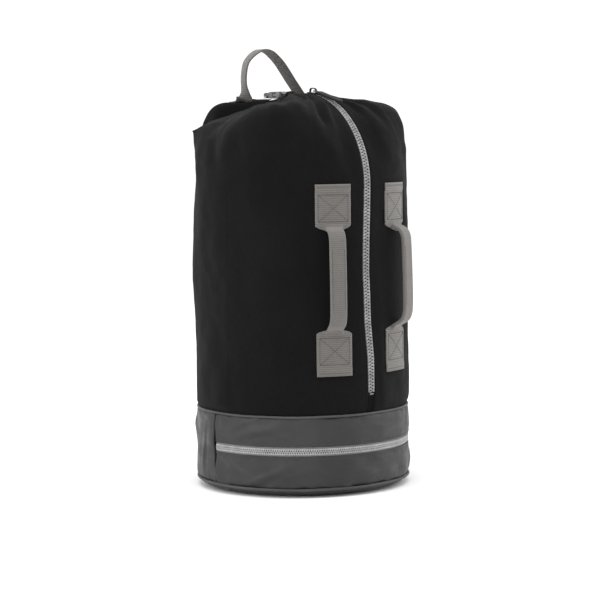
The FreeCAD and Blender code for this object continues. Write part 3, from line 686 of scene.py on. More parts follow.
# ---- knot: the gathered cloth at the crown's centre ---------------------------------------------
def knot():
    rings = []
    around_count = 72
    a = np.linspace(0, 2 * np.pi, around_count, endpoint=False)
    fold = 0.10 * np.cos(9 * a + 0.6) + 0.07 * np.cos(5 * a + 2.0) + 0.05 * np.cos(14 * a)
    for t in np.linspace(0, 1, 26):
        r = 9.6 * (1 - 0.16 * smooth(t / 0.5)) * math.sqrt(max(0.0, 1 - max(0.0, (t - 0.55) / 0.45) ** 2.6))
        ripple = 1 + fold * (1 - 0.3 * t)
        z = 534 + 17.6 * t ** 0.85
        rings.append(np.stack([KNOT[0] + 1 + r * ripple * np.sin(a), KNOT[1] - 4 + r * 0.92 * ripple * np.cos(a),
                               np.full_like(a, z) + 0.5 * np.sin(3 * a) * t], -1))
    tube("crown_knot", np.array(rings)[:, ::-1], BLACK, "bag", replaces=["crown_gather"])


knot()


# ---- base compartment ----------------------------------------------------------------------------
pucker = Ripple(21, 15, (1, 1, 3.0))
base_dents = Ripple(31, 46, (1, 1, 0.55))
# folds that catch the light: azimuth, height, length, tilt in degrees, depth
FOLDS = [(-62, 90, 34, 10, 1.9), (-48, 84, 26, -14, 1.4), (-75, 96, 22, 24, 1.3), (-58, 28, 40, 22, 2.1),
         (-40, 34, 30, 12, 1.3), (-78, 40, 22, -30, 1.2), (38, 88, 24, 70, 0.7), (47, 36, 22, 78, 0.9), (12, 30, 34, 8, 0.9),
         (8, 92, 30, -6, 0.8), (75, 86, 30, 15, 1.1), (70, 30, 30, -18, 1.0), (-20, 92, 26, 14, 0.9),
         (130, 60, 40, 35, 1.8), (165, 84, 34, -20, 1.5), (200, 40, 38, 18, 1.8), (228, 75, 30, 60, 1.6), (-105, 55, 30, 82, 1.4)]


def base_r(deg, z, low, high):
    """Radius of a base band between two sewn edges."""
    u = (z - low) / (high - low)
    belly = 1.5 * np.sin(np.pi * np.clip(u, 0, 1)) ** 0.8
    seam = -2.4 * np.exp(-np.minimum(np.abs(z - BOTTOM_SEAM_Z), np.abs(WAIST_Z - z)) / 3.4)
    r = BAG_R - 0.9 + belly + seam
    off = np.minimum(np.abs(np.abs((deg + 180) % 360 - 180) - SIDE_SEAM_DEG), 20) * 2.62
    r = r - 1.9 * np.exp(-(off / 1.3) ** 2) + 0.5 * np.exp(-((off - 4) / 2.2) ** 2)
    flat = np.stack([deg * 2.62, z + 0 * deg, 0 * deg], -1)
    edge = np.exp(-np.minimum(z - low, high - z) / 7.0)
    r = r + 0.45 * pucker(flat) * edge + 0.6 * base_dents(flat)
    for at, height, length, tilt, depth in FOLDS:
        dx = ((deg - at + 180) % 360 - 180) * 2.62
        dz = z - height
        c, s = math.cos(math.radians(tilt)), math.sin(math.radians(tilt))
        a, b = (dx * c + dz * s) / length, (dz * c - dx * s) / 5.0
        r = r + depth * np.exp(-a * a) * (np.exp(-b * b) - 0.6 * np.exp(-((b + 1.6) ** 2)))
    return r


def base_band(name, z0, z1, start, end, node, hem_low=False, hem_high=False):
    cols = int((end - start) * 2.62 / 1.6)
    rows = int((z1 - z0) / 1.3) + 1
    deg = np.linspace(start, end, cols)[None].repeat(rows, 0)
    z = np.linspace(z0, z1, rows)[:, None].repeat(cols, 1)
    r = base_r(deg, z, z0, z1)
    fixed = [np.exp(-(z - z0) / 2.5) * hem_low, np.exp(-(z1 - z) / 2.5) * hem_high]
    r = lerp(r, BAG_R - 0.3, np.maximum(*fixed))
    p = np.concatenate([around(deg, r), z[..., None]], -1)

    def roll(row, down):
        out = unit(np.concatenate([around(deg[0], 1.0), np.zeros((cols, 1))], -1))
        made = []
        for a in np.radians([30, 60, 90]):
            made.append(row - out * (2.2 * (1 - math.cos(a))) + np.array([0, 0, down * 0.7 * math.sin(a)]))
        return np.array(made)

    if hem_low:
        p = np.concatenate([roll(p[0], -1)[::-1], p], 0)
    if hem_high:
        p = np.concatenate([p, roll(p[-1], 1)], 0)
    u = (np.concatenate([deg[:1]] * len(p), 0)) * 2.62
    cloth = np.stack([u, p[..., 2]], -1)
    return sheet(name, p, GREY, "bag", thick=1.3, cloth=cloth, replaces=[node])


LOW, HIGH = BOTTOM_SEAM_Z + 1.0, WAIST_Z - 0.8
base_band("base_front_lower_cloth", LOW, BASE_SLOT[0], -SIDE_SEAM_DEG, SIDE_SEAM_DEG, "base_front_lower_wall", hem_high=True)
base_band("base_front_upper_cloth", BASE_SLOT[1], HIGH, -SIDE_SEAM_DEG, SIDE_SEAM_DEG, "base_front_upper_wall", hem_low=True)
base_band("base_back_cloth", LOW, HIGH, SIDE_SEAM_DEG + 0.35, 360 - SIDE_SEAM_DEG - 0.35, "base_back_wall")


def lathe(name, profile, material, node, wave=0.0, count=360, waves=90):
    deg = np.linspace(0, 360, count, endpoint=False)
    rows = []
    for r, z in profile:
        ripple = wave * np.sin(np.radians(waves * deg) + 2 * np.sin(np.radians(5 * deg)))
        rows.append(np.concatenate([around(deg, r + ripple * (r > 130)), np.full((count, 1), z)], -1))
    p = np.array(rows)
    u = np.broadcast_to(deg[None] * 2.6, p.shape[:2])
    v = np.broadcast_to(np.arange(len(profile))[:, None] * 4.0, p.shape[:2])
    return sheet(name, p, material, "bag", thick=1.2, closed=True, cloth=np.stack([u, v], -1), replaces=[node])


def bottom():
    profile = [(0.5, 0.0)] + [(r, 0.0) for r in np.linspace(10, 118, 14)]
    profile += [(124, 0.15), (130, 0.8), (136, 2.2), (141, 4.2), (144.5, 6.4), (146.8, 8.6), (147.6, 10.2), (146.6, 11.4)]
    lathe("bottom_cloth", profile, GREY, "bottom_panel", wave=0.25)


bottom()


def piping(name, radius, height, wire, node):
    deg = np.linspace(0, 360, 720, endpoint=False)
    a = np.linspace(0, 2 * np.pi, 14, endpoint=False)
    size = wire * (1 + 0.05 * np.sin(np.radians(deg * 47)) + 0.04 * np.sin(np.radians(deg * 91)))
    z = height + 0.35 * np.sin(np.radians(3 * deg + 50)) + 0.15 * np.sin(np.radians(11 * deg))
    r = radius + size[:, None] * np.cos(a)[None]
    p = np.concatenate([around(deg[:, None] + 0 * a, r), (z[:, None] + size[:, None] * np.sin(a))[..., None]], -1)
    tube(name, p, PIPING, "bag", closed=True, replaces=[node])


piping("waist_piping_cord", BAG_R - 1.9, WAIST_Z, 1.75, "waist_piping")
piping("bottom_piping_cord", BAG_R - 1.2, BOTTOM_SEAM_Z, 1.9, "bottom_piping")


def seam_lines():
    """Topstitching round the base, and the felled side seams of base and body."""
    grey, black = Batch(), Batch()

    def ring(batch, start, end, z, r, pitch=3.0):
        deg = np.linspace(start, end, int(abs(end - start) * 2) + 2)
        path = np.concatenate([around(deg, r), np.full((len(deg), 1), z)], -1)
        out = np.concatenate([around(deg, 1.0), np.zeros((len(deg), 1))], -1)
        stitch_line(batch, path, out, pitch)

    deg = np.linspace(-SIDE_SEAM_DEG + 1, SIDE_SEAM_DEG - 1, 400)
    for z, z0, z1 in ((BASE_SLOT[0] - 2.6, LOW, BASE_SLOT[0]), (BASE_SLOT[1] + 2.6, BASE_SLOT[1], HIGH)):
        r = lerp(base_r(deg, z + 0 * deg, z0, z1), BAG_R - 0.3, math.exp(-2.6 / 2.5))
        path = np.concatenate([around(deg, r + 0.12), np.full((400, 1), z)], -1)
        out = np.concatenate([around(deg, 1.0), np.zeros((400, 1))], -1)
        stitch_line(grey, path, out, 3.0)
    for side_deg in (SIDE_SEAM_DEG + 3.0, 360 - SIDE_SEAM_DEG - 3.0):
        z = np.linspace(LOW + 3, HIGH - 3, 60)
        d = np.full(60, side_deg)
        r = base_r(d, z, LOW, HIGH)
        stitch_line(grey, np.concatenate([around(d, r + 0.1), z[:, None]], -1),
                    np.concatenate([around(d, 1.0), np.zeros((60, 1))], -1), 3.0)
    for name in ("left", "right"):
        side = -1 if name == "left" else 1
        p = front[name]
        normal = surface_normal(p, side)
        for col_mm in (2.4, 8.0):
            x = np.abs(p[..., 0] - zip_wander(p[..., 2]))
            line, out = [], []
            for i in range(2, len(p)):
                if p[i, 0, 1] > -24:
                    break
                j = np.interp(SLOT_HALF + col_mm, x[i], np.arange(x.shape[1]))
                k = int(j)
                f = j - k
                line.append(lerp(p[i, k], p[i, k + 1], f))
                out.append(lerp(normal[i, k], normal[i, k + 1], f))
            stitch_line(black, np.array(line), np.array(out), 3.0)
        line, out = p[2:-46, -3], normal[2:-46, -3]
        stitch_line(black, line, out, 3.2)
    grey.build("base_topstitch", THREAD_BASE, "bag", "grey_fabric")
    black.build("body_topstitch", THREAD_BLACK, "bag", "black_canvas")


seam_lines()


# ---- zips -----------------------------------------------------------------------------------------
def main_zip_frame(s):
    """Centre and outward direction, s millimetres from the zip's top end."""
    s = np.asarray(s, float)
    arc_length = ARC_R * math.radians(89.0)
    a = np.radians(1.0) + np.minimum(s, arc_length) / ARC_R
    straight = np.maximum(0, s - arc_length)
    y = ARC_Y - ARC_R * np.sin(a)
    z = ARC_Z + ARC_R * np.cos(a) - straight
    centre = np.stack([zip_wander(z), y, z], -1)
    out = np.stack([0 * s, -np.sin(a), np.cos(a)], -1)
    return centre, out


BASE_END_DEG = 91.9


def base_zip_frame(s):
    deg = -BASE_END_DEG + np.asarray(s, float) / math.radians(1.0) / BAG_R
    centre = np.concatenate([around(deg, BAG_R), np.full((len(deg), 1), BASE_ZIP_Z)], -1)
    out = np.concatenate([around(deg, 1.0), np.zeros((len(deg), 1))], -1)
    return centre, out


# half outline of a tooth, for a pitch of 3: across the chain, and half its width along it
TOOTH = [(-1.2, 0.25), (-0.9, 0.52), (0.0, 0.70), (0.7, 0.50), (1.5, 0.58), (2.4, 0.92), (3.4, 1.33), (5.1, 1.38),
         (5.4, 1.2)]
SLANT = 0.35


def zip_teeth(name, frame_at, length, side, pitch, scale, material, node, along_sign=1):
    """Moulded teeth of one row: a rounded head that meshes, a neck, and a body clamped on the tape's edge."""
    batch = Batch()
    s = np.arange(pitch * (0.5 if side > 0 else 1.0), length - 0.4, pitch)
    centre, out = frame_at(s)
    ahead, _ = frame_at(s + 0.5)
    behind, _ = frame_at(s - 0.5)
    along = unit(ahead - behind)
    across = np.cross(along, out) * side * along_sign
    outline = [(x * scale, y * pitch / 3.0) for x, y in TOOTH]
    outline = outline + [(x, -y) for x, y in reversed(outline)]
    o = np.array(outline)
    o[:, 1] += SLANT * o[:, 0]
    mid = o.mean(0)
    levels = ((-3.0, 0.93), (-2.7, 1.0), (-1.0, 1.0), (-0.62, 0.9), (-0.5, 0.66))
    count = len(o)
    faces = grid_faces(len(levels), count, closed=True, flip=side * along_sign < 0)
    cap = tuple((len(levels) - 1) * count + j for j in range(count))
    faces.append(cap if side * along_sign > 0 else cap[::-1])
    for c, n, t, b in zip(centre, out, along, across):
        verts = []
        for lift, k in levels:
            q = mid + (o - mid) * k
            verts.append(c + b * q[:, :1] + t * q[:, 1:] + n * lift)
        batch.add(np.vstack(verts), faces)
    obj = batch.build(name, material, "bag", "zip_teeth", replaces=[node])
    return obj


def zip_tape(name, frame_at, length, side, lip, material, node, along_sign=1):
    s = np.linspace(0, length, int(length / 2.5))
    centre, out = frame_at(s)
    across = np.cross(unit(np.gradient(centre, axis=0)), out) * side * along_sign
    rows = []
    for x, lift in ((1.6, -1.9), (2.6, -1.75), (lip, -1.8), (lip + 1.2, -2.4), (10.0, -2.5), (12.6, -2.6)):
        rows.append(centre + across * x + out * lift)
    p = np.stack(rows, 1)
    return sheet(name, p, material, "bag", thick=0.6, offset=-1, flip=side * along_sign < 0, replaces=[node])


MAIN_LENGTH = ARC_R * math.radians(89.0) + (ARC_Z - 138.0)
BASE_LENGTH = BAG_R * math.radians(2 * BASE_END_DEG)
for name, side in (("left", -1), ("right", 1)):
    zip_teeth(f"main_teeth_{name}", main_zip_frame, MAIN_LENGTH, side, 4.4, 1.0, TEETH, f"main_zip_teeth_{name}", -1)
    zip_tape(f"main_tape_{name}", main_zip_frame, MAIN_LENGTH + 14, side, 6.7, TAPE, f"main_zip_tape_{name}", -1)
for name, side in (("lower", -1), ("upper", 1)):
    zip_teeth(f"base_teeth_{name}", base_zip_frame, BASE_LENGTH, side, 3.2, 0.78, BASE_TEETH, f"base_zip_teeth_{name}", -1)
    zip_tape(f"base_tape_{name}", base_zip_frame, BASE_LENGTH, side, 4.6, BASE_TAPE, f"base_zip_tape_{name}", -1)


def end_tab():
    """The folded fabric tab that covers the main zip's lower end."""
    z = np.linspace(BODY_Z + 1, 139.5, 14)
    x = np.linspace(-6.6, 6.6, 12)
    rows = []
    for zi in z:
        y = -(BAG_R - 0.35 - 2.2 * math.exp(-(zi - BODY_Z) / 5)) + 0.25 * np.cos(x / 2.3)
        rows.append(np.stack([x + zip_wander(zi), y + 0 * x, zi + 0 * x], -1))
    sheet("zip_end_tab", np.array(rows), BLACK_HEM, "bag", thick=0.9, replaces=["main_zip_end_tab"])
    batch = Batch()
    c = np.array([zip_wander(136.5), -(BAG_R - 0.1), 136.2])
    stitch_line(batch, [c + [-5.2, 0, 0], c + [5.2, 0, 0]], [[0, -1, 0]] * 2, 2.6)
    batch.build("zip_end_tab_stitch", THREAD_BLACK, "bag", "black_canvas")


end_tab()


# ---- webbing handles -------------------------------------------------------------------------------
WEB_HALF = 25.0
FOLD_AT, FOLD_R = 9.1, 1.7
TAB_LOW_EDGE, TAB_HIGH_EDGE = 366.0, 223.0    # where the sewn webbing of the two tabs ends and the fold begins
HANDLE_LINE = [(151.3, 424), (151.3, 410), (151.3, 395), (151.3, 380), (151.6, 371.5), (154.6, 366), (160.4, 363.2),
               (166.0, 359.0), (169.6, 351.5), (170.6, 343), (171.2, 325), (172.0, 300), (172.4, 275), (172.4, 258),
               (171.6, 246), (168.0, 236.5), (161.6, 231.0), (155.6, 227.6), (152.0, 222.0), (151.3, 216),
               (151.3, 200), (151.3, 180), (151.3, 165)]


def folded(theta, flat, thick, depth):
    """Closed section of 50 mm webbing, its sides folded behind it by theta degrees and pressed into depth."""
    w = np.linspace(-WEB_HALF, WEB_HALF, 45)
    t = math.radians(theta)
    size = np.abs(w)
    turn = np.clip((size - FOLD_AT) / FOLD_R, 0, t)
    rest = np.maximum(0, size - FOLD_AT - FOLD_R * t)
    x = np.minimum(size, FOLD_AT) + FOLD_R * np.sin(turn) + rest * math.cos(t)
    y = -FOLD_R * (1 - np.cos(turn)) - rest * math.sin(t)
    y = -depth * (1 - np.exp(y / depth))
    y = y - flat * size**2 / (2 * BAG_R)
    x = np.sign(w) * x
    along = unit(np.stack([np.gradient(x), np.gradient(y)], -1))
    normal = np.stack([-along[:, 1], along[:, 0]], -1)
    line = np.stack([x, y], -1)
    edge = thick / 2 * np.sqrt(np.clip(1 - ((size - WEB_HALF + 1.0) / 1.05) ** 2 * (size > WEB_HALF - 1), 0.15, 1))
    return np.concatenate([line + normal * edge[:, None], (line - normal * edge[:, None])[::-1]])


def handle(name, side):
    deg = HANDLE_DEG * side
    out = np.append(around(deg, 1.0), 0)
    line = curve_points(HANDLE_LINE, 210)
    path = out * line[:, :1] + np.array([0, 0, 1.0]) * line[:, 1:]
    along = unit(np.gradient(line, axis=0))
    normal = out * (-along[:, 1:]) + np.array([0, 0, 1.0]) * along[:, :1]
    z = line[:, 1]
    out_by = line[:, 0] - 151.4
    theta = 182 * np.minimum(smooth((TAB_LOW_EDGE + 5 - z) / 10), smooth((z - TAB_HIGH_EDGE + 3) / 10))
    flat = 1 - theta / 182
    depth = np.clip(out_by + 1.6, 1.6, 30)
    hem_up = 0.7 * smooth((z - 412) / 1.5) + 0.7 * smooth((176 - z) / 1.5)
    outlines = np.array([folded(t, f, 1.9, d) + [0, h] for t, f, d, h in zip(theta, flat, depth, hem_up)])
    skin = sweep(path, normal, outlines)
    count = len(line) // 2
    w = np.linspace(-WEB_HALF, WEB_HALF, 45)
    u = np.concatenate([w, w[::-1]])
    v = np.concatenate([[0], np.cumsum(np.linalg.norm(np.diff(line, axis=0), axis=1))])
    halves = (("upper", 0, count + 1, 366.0, 346.0), ("lower", count, len(line), 229.0, 246.0))
    for part, a, b, start_z, end_z in halves:
        cloth = np.stack(np.broadcast_arrays(u[None], v[a:b, None]), -1)
        tab = f"{name}_handle_{part}_tab"
        gone = [tab, f"{name}_handle_grip"] if part == "upper" else [tab]
        obj = tube(f"{name}_handle_{part}_webbing", skin[a:b], WEB, None, cloth=cloth, replaces=gone)
        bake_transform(obj)
    tabs, grips = Batch(), Batch()

    def spot(x, height, r=152.35):
        return np.append(around(deg + math.degrees(x / r), r), height), np.append(around(deg + math.degrees(x / r), 1.0), 0)

    def run(batch, points, r=152.35, pitch=2.9):
        fine = even(np.array(points, float), 60)
        got = [spot(x, h, r) for x, h in fine]
        stitch_line(batch, [g[0] for g in got], [g[1] for g in got], pitch)

    for low, high, hem_z in ((373.5, 409.5, 420.0), (181.0, 217.0, 169.0)):
        run(tabs, [(-21, low), (21, low)])
        run(tabs, [(-21, high), (21, high)])
        run(tabs, [(-21, low), (-21, high)])
        run(tabs, [(21, low), (21, high)])
        run(tabs, [(-21, low), (21, high)])
        run(tabs, [(-21, high), (21, low)])
        run(tabs, [(-22.5, hem_z), (22.5, hem_z)], r=152.95)
    mid = (line[:, 1] < 338) & (line[:, 1] > 256)
    lateral = np.array([-out[1], out[0], 0])
    for x in (-8.6, 8.6):
        stitch_line(grips, path[mid] + lateral * x + out * 1.0, np.tile(out, (mid.sum(), 1)), 3.2)
    tabs.build(f"{name}_handle_tab_stitches", THREAD_GREY, "bag", "webbing")
    grips.build(f"{name}_handle_grip_stitches", THREAD_GREY, f"{name}_grip", "webbing")


handle("left", -1)
handle("right", 1)


# ---- haul loop ---------------------------------------------------------------------------------------
LOOP_PATH = [(-41, 548), (-41.4, 554), (-42.6, 560), (-43.2, 568), (-42.5, 578), (-40, 589), (-35, 597.5), (-24, 606.5),
             (-11.5, 611.8), (1.5, 609.5), (12, 602.5), (22.3, 593), (32.6, 580.5), (41.5, 569), (49, 560),
             (54.5, 553), (58, 547.5)]
LOOP_TWIST = [86, 75, 70, 70, 70, 71, 74, 80, 86, 90, 90, 90, 90, 90, 90, 90, 96]


def haul_loop():
    """Webbing arch: each leg rises flat from its sewn foot, then turns edge-on to the arch."""
    foot = [(22, 536.6), (12, 537.2), (4, 538.4), (0.6, 541.6)]
    knots = [(LOOP_ENDS[0], LOOP_Y + y, z) for y, z in foot]
    knots += [(x, LOOP_Y, z) for x, z in LOOP_PATH]
    knots += [(LOOP_ENDS[1], LOOP_Y + y, z) for y, z in reversed(foot)]
    twist = [180, 180, 165, 116] + LOOP_TWIST + [120, 165, 180, 180]
    k = np.array(knots, float)
    path = curve_points(k, 230)
    at_knots = np.concatenate([[0], np.cumsum(np.linalg.norm(np.diff(k, axis=0), axis=1))])
    at = np.concatenate([[0], np.cumsum(np.linalg.norm(np.diff(path, axis=0), axis=1))])
    angle = np.radians(np.interp(at / at[-1], at_knots / at_knots[-1], twist))
    kernel = np.hanning(9) / np.hanning(9).sum()
    angle = np.convolve(np.pad(angle, 4, mode="edge"), kernel, "valid")
    along = unit(np.gradient(path, axis=0))
    wide = np.stack([np.cos(angle), np.sin(angle), 0 * angle], -1)
    wide = unit(wide - along * np.sum(wide * along, 1, keepdims=True))
    thin = np.cross(along, wide)
    outline = rounded(24.6, 2.4, 0.95)
    cup = -0.7 * (outline[:, 0] / 12.3) ** 2
    skin = path[:, None] + wide[:, None] * outline[None, :, :1] + thin[:, None] * (outline[:, 1] + cup)[None, :, None]
    u = outline[:, 0] + 12.5
    cloth = np.stack(np.broadcast_arrays(u[None], at[:, None]), -1)
    obj = tube("haul_loop_band", skin[:, ::-1], WEB_LOOP, None, cloth=cloth[:, ::-1],
               replaces=["haul_loop_webbing", "haul_loop_foot_left", "haul_loop_foot_right"])
    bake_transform(obj)
    batch = Batch()
    up = [[0, 0, 1]] * 2
    for x in LOOP_ENDS:
        y0, y1 = LOOP_Y + 7, LOOP_Y + 20
        corners = [(x - 9, y0), (x + 9, y0), (x + 9, y1), (x - 9, y1)]
        for a, b in list(zip(corners, corners[1:] + corners[:1])) + [(corners[0], corners[2]), (corners[1], corners[3])]:
            stitch_line(batch, [(*a, 538.4), (*b, 538.4)], up, 2.6)
    batch.build("haul_foot_stitches", THREAD_GREY, "bag", "webbing")


haul_loop()


# ---- closure strap and side-release buckle -------------------------------------------------------------
MID_Z = 546.8
HALF = 10.5           # half the buckle's width
FEMALE_Y0, FEMALE_Y1 = 33.0, 54.0
STRAP_WIDE = 15.0
HEAD_Y = 54.3         # where the male half's head starts


def strap(name, line, width, body, replaces, thick=1.3):
    path = curve_points([(0, y, z) for y, z in line], 12 * len(line))
    along = unit(np.gradient(path, axis=0))
    normal = np.stack([0 * along[:, 0], -along[:, 2], along[:, 1]], -1)
    outline = rounded(width, thick, 0.55)
    skin = sweep(path, normal, outline)
    at = np.concatenate([[0], np.cumsum(np.linalg.norm(np.diff(path, axis=0), axis=1))])
    cloth = np.stack(np.broadcast_arrays((outline[:, 0] + width / 2)[None], at[:, None]), -1)
    return tube(name, skin, WEB_STRAP, body, cloth=cloth, replaces=replaces)


def prism(batch, outline, z0, z1):
    """An outline in x, y raised from z0 to z1."""
    o = np.array(outline, float)
    count = len(o)
    low = np.column_stack([o, np.full(count, z0)])
    high = np.column_stack([o, np.full(count, z1)])
    faces = [tuple(range(count))[::-1], tuple(range(count, 2 * count))]
    faces += [(i, (i + 1) % count, count + (i + 1) % count, count + i) for i in range(count)]
    batch.add(np.vstack([low, high]), faces)


def mirrored(half):
    """Closed outline from its right half, listed from one end to the other."""
    return half + [(-x, y) for x, y in reversed(half)]


def buckle():
    f, m = Batch(), Batch()
    y0, y1 = FEMALE_Y0, FEMALE_Y1

    def bar(batch, half, ya, yb, low, high):
        prism(batch, [(-half, ya), (half, ya), (half, yb), (-half, yb)], MID_Z + low, MID_Z + high)

    plate = mirrored([(HALF - 0.9, y0 + 3.8), (HALF - 0.6, y0 + 7.5), (HALF - 1.6, y0 + 10.2), (HALF - 1.3, y0 + 14),
                      (HALF - 0.2, y0 + 17), (HALF, y1 - 1.2), (HALF - 0.9, y1)])
    prism(f, plate, MID_Z + 2.9, MID_Z + 4.8)
    prism(f, plate, MID_Z - 4.8, MID_Z - 2.9)
    bar(f, HALF - 0.3, y0, y0 + 2.2, -3.2, 3.2)
    for k in range(4):
        bar(f, HALF - 5, y1 - 2.6 - 1.3 * k, y1 - 2.0 - 1.3 * k, 4.7, 5.05)
    b = HEAD_Y
    for s in (-1, 1):
        for ya, yb in ((y0 + 0.3, y0 + 7.2), (y1 - 6, y1 - 0.2)):
            xs = sorted((s * (HALF - 1.7), s * HALF))
            prism(f, [(xs[0], ya), (xs[1], ya), (xs[1], yb), (xs[0], yb)], MID_Z - 4.4, MID_Z + 4.4)
        prong = [(5.4, b), (7.6, b), (7.5, y1 - 5.6), (9.7, y1 - 6.6), (10.1, y1 - 9), (9.1, y1 - 11.6), (7.2, y1 - 13),
                 (5.6, y1 - 12), (6.4, y1 - 9)]
        prism(m, [(s * x, y) for x, y in prong], MID_Z - 1.9, MID_Z + 1.9)
        xs = sorted((s * (HALF - 2.4), s * (HALF - 0.3)))
        prism(m, [(xs[0], b + 3), (xs[1], b + 3), (xs[1], b + 14.4), (xs[0], b + 14.4)], MID_Z - 2, MID_Z + 2)
    prism(m, [(-1.6, b), (-1.6, y1 - 12), (0, y1 - 12.7), (1.6, y1 - 12), (1.6, b)], MID_Z - 1.2, MID_Z + 1.2)
    prism(m, mirrored([(HALF - 0.9, b), (HALF - 0.3, b + 1), (HALF - 0.5, b + 3.2), (HALF - 1.2, b + 4)]),
          MID_Z - 4.4, MID_Z + 4.4)
    for ya, yb, h in ((b + 3, b + 5.6, 2.0), (b + 7.8, b + 9.6, 1.6), (b + 12.2, b + 14.5, 1.9)):
        bar(m, HALF - 0.4, ya, yb, -h, h)
    female = f.build("buckle_housing", BUCKLE, "bag", "buckle_plastic", ["buckle_female"])
    male = m.build("buckle_tongue_part", BUCKLE, "buckle_tongue", "buckle_plastic", ["buckle_male"])
    for obj in (female, male):
        add_bevel(obj, 0.5, 3, 30)
    strap("strap_to_knot", [(26, MID_Z + 0.6), (30, MID_Z + 2.6), (y0 + 0.6, MID_Z + 4.2), (y0 + 2.6, MID_Z + 3.2),
                            (y0 + 3.3, MID_Z), (y0 + 2.6, MID_Z - 3.2), (y0 + 0.6, MID_Z - 4.3), (30, MID_Z - 4.4),
                            (26, MID_Z - 4.4)], STRAP_WIDE, "bag", ["closure_strap_front"])
    turn = b + 10.9
    strap("strap_loop", [(turn + 7.4, MID_Z - 3.4), (turn + 3.4, MID_Z - 3.3), (turn + 1, MID_Z - 2.5), (turn, MID_Z),
                         (turn + 1, MID_Z + 2.5), (turn + 3.4, MID_Z + 3.2), (turn + 7.4, MID_Z + 1.6)],
          STRAP_WIDE, "buckle_tongue", ["closure_strap_loop"], thick=1.0)
    strap("strap_anchor", [(73.3, 541.0), (80, 540.9), (88, 540.7), (96.4, 540.2)], STRAP_WIDE, "bag",
          ["closure_strap_anchor"])
    batch = Batch()
    x, ya, yb = 5.4, 82.0, 94.0
    corners = [(-x, ya), (x, ya), (x, yb), (-x, yb)]
    for p, q in list(zip(corners, corners[1:] + corners[:1])) + [(corners[0], corners[2]), (corners[1], corners[3])]:
        stitch_line(batch, [(*p, 541.5), (*q, 541.3)], [[0, 0, 1]] * 2, 2.4)
    batch.build("strap_anchor_stitches", THREAD_GREY, "bag", "webbing")


buckle()


# ---- zip sliders and pullers -----------------------------------------------------------------------------
def slider(name, place, scale, body, node):
    """Die-cast slider; place maps (along, across, out) from its middle on the chain's surface to the frame."""
    batch = Batch()

    def slab(half, z0, z1):
        o = np.array(mirrored(half), float)
        count = len(o)
        ring_sets = [(0.9, z0), (1.0, z0 + 0.35), (1.0, z1 - 0.5), (0.93, z1 - 0.12), (0.8, z1)]
        verts = []
        for k, z in ring_sets:
            verts += [place(y * k * scale, x * k * scale, z) for x, y in o]
        faces = grid_faces(len(ring_sets), count, closed=True)
        faces += [tuple(range(count))[::-1], tuple((len(ring_sets) - 1) * count + j for j in range(count))]
        batch.add(np.array(verts), faces)

    half = [(1.6, -10), (3.9, -9.4), (4.6, -7.4), (4.7, -3), (5.4, 1.5), (6.2, 5), (6.1, 8), (4.6, 9.8), (1.6, 10)]
    slab(half, -0.05, 1.75)
    slab(half, -5.8, -3.7)
    path = curve_points([(-6.8, 1.0), (-6.2, 5.4), (-3.4, 7.0), (0, 7.3), (3.4, 7.0), (6.2, 5.2), (6.9, 1.0)], 30)
    along = unit(np.gradient(path, axis=0))
    o = rounded(3.2, 1.5, 0.5, 4)
    rings = []
    for (p, q), (dp, dq) in zip(path, along):
        rings.append([place((p - dq * b) * scale, a * scale, q + dp * b) for a, b in o])
    rings = np.array(rings)
    faces = grid_faces(len(rings), len(o), closed=True)
    batch.add(rings.reshape(-1, 3), faces)
    return batch.build(name, METAL, body, "zip_metal", [node])


def puller(name, pivot, ahead, up, length, body, nodes):
    """Wire ring and moulded tab: from the pin, lying towards ahead."""
    side = np.cross(ahead, up)

    def at(a, c, u):
        return pivot + ahead * a + side * c + up * u

    ring = []
    half, reach = 3.4, 9.5
    corner = [(0, -half), (0, half), (reach, half), (reach, -half)]
    outline = []
    for (a, c), start in zip(corner, (180, 90, 0, 270)):
        ca, cc = a + (1.3 if a == 0 else -1.3), c + (1.3 if c < 0 else -1.3)
        for t in np.radians(np.linspace(start, start - 90, 6)):
            outline.append((ca + 1.3 * math.cos(t), cc + 1.3 * math.sin(t)))
    o = np.array(outline)
    d = unit(np.roll(o, -1, 0) - np.roll(o, 1, 0))
    for (a, c), (da, dc) in zip(o, d):
        ring.append([at(a - dc * 0.9 * math.cos(t), c + da * 0.9 * math.cos(t), 0.9 * math.sin(t))
                     for t in np.linspace(0, 2 * np.pi, 12, endpoint=False)])
    tube(f"{name}_ring", np.array(ring), BRIGHT, body, closed=True, replaces=[nodes[0]])
    rows = []
    for t in np.linspace(0, 1, 44):
        a = lerp(7.4, length, t)
        end = min(1.0, t * 9, (1 - t) * 12)
        width = lerp(5.3, 4.3, t) * math.sqrt(max(0.02, 1 - (1 - end) ** 2)) ** 0.6
        thick = 2.0 * math.sqrt(max(0.03, 1 - (1 - end) ** 2)) ** 0.7
        groove = 0.28 * (0.5 + 0.5 * math.cos(t * 2 * math.pi * 9)) * (0.3 < t < 0.86)
        section = rounded(2 * width, 2 * thick, min(1.5, thick * 0.8), 5)
        section[:, 1] *= 1 - groove * (np.abs(section[:, 0]) < width * 0.75)
        rows.append([at(a, c, u) for c, u in section])
    tube(f"{name}_tab", np.array(rows)[:, ::-1], RUBBER, body, replaces=[nodes[1]])


PIVOT_RISE = 4.2
angle = math.radians(5.4)


def main_place(along, across, out):
    a = angle
    out_dir = np.array([0, -math.sin(a), math.cos(a)])
    down = np.array([0, -math.cos(a), -math.sin(a)])
    sag = along * along / (2 * ARC_R)
    return np.array([0, ARC_Y, ARC_Z]) + out_dir * (ARC_R + out - sag) + down * along + np.array([across, 0, 0])


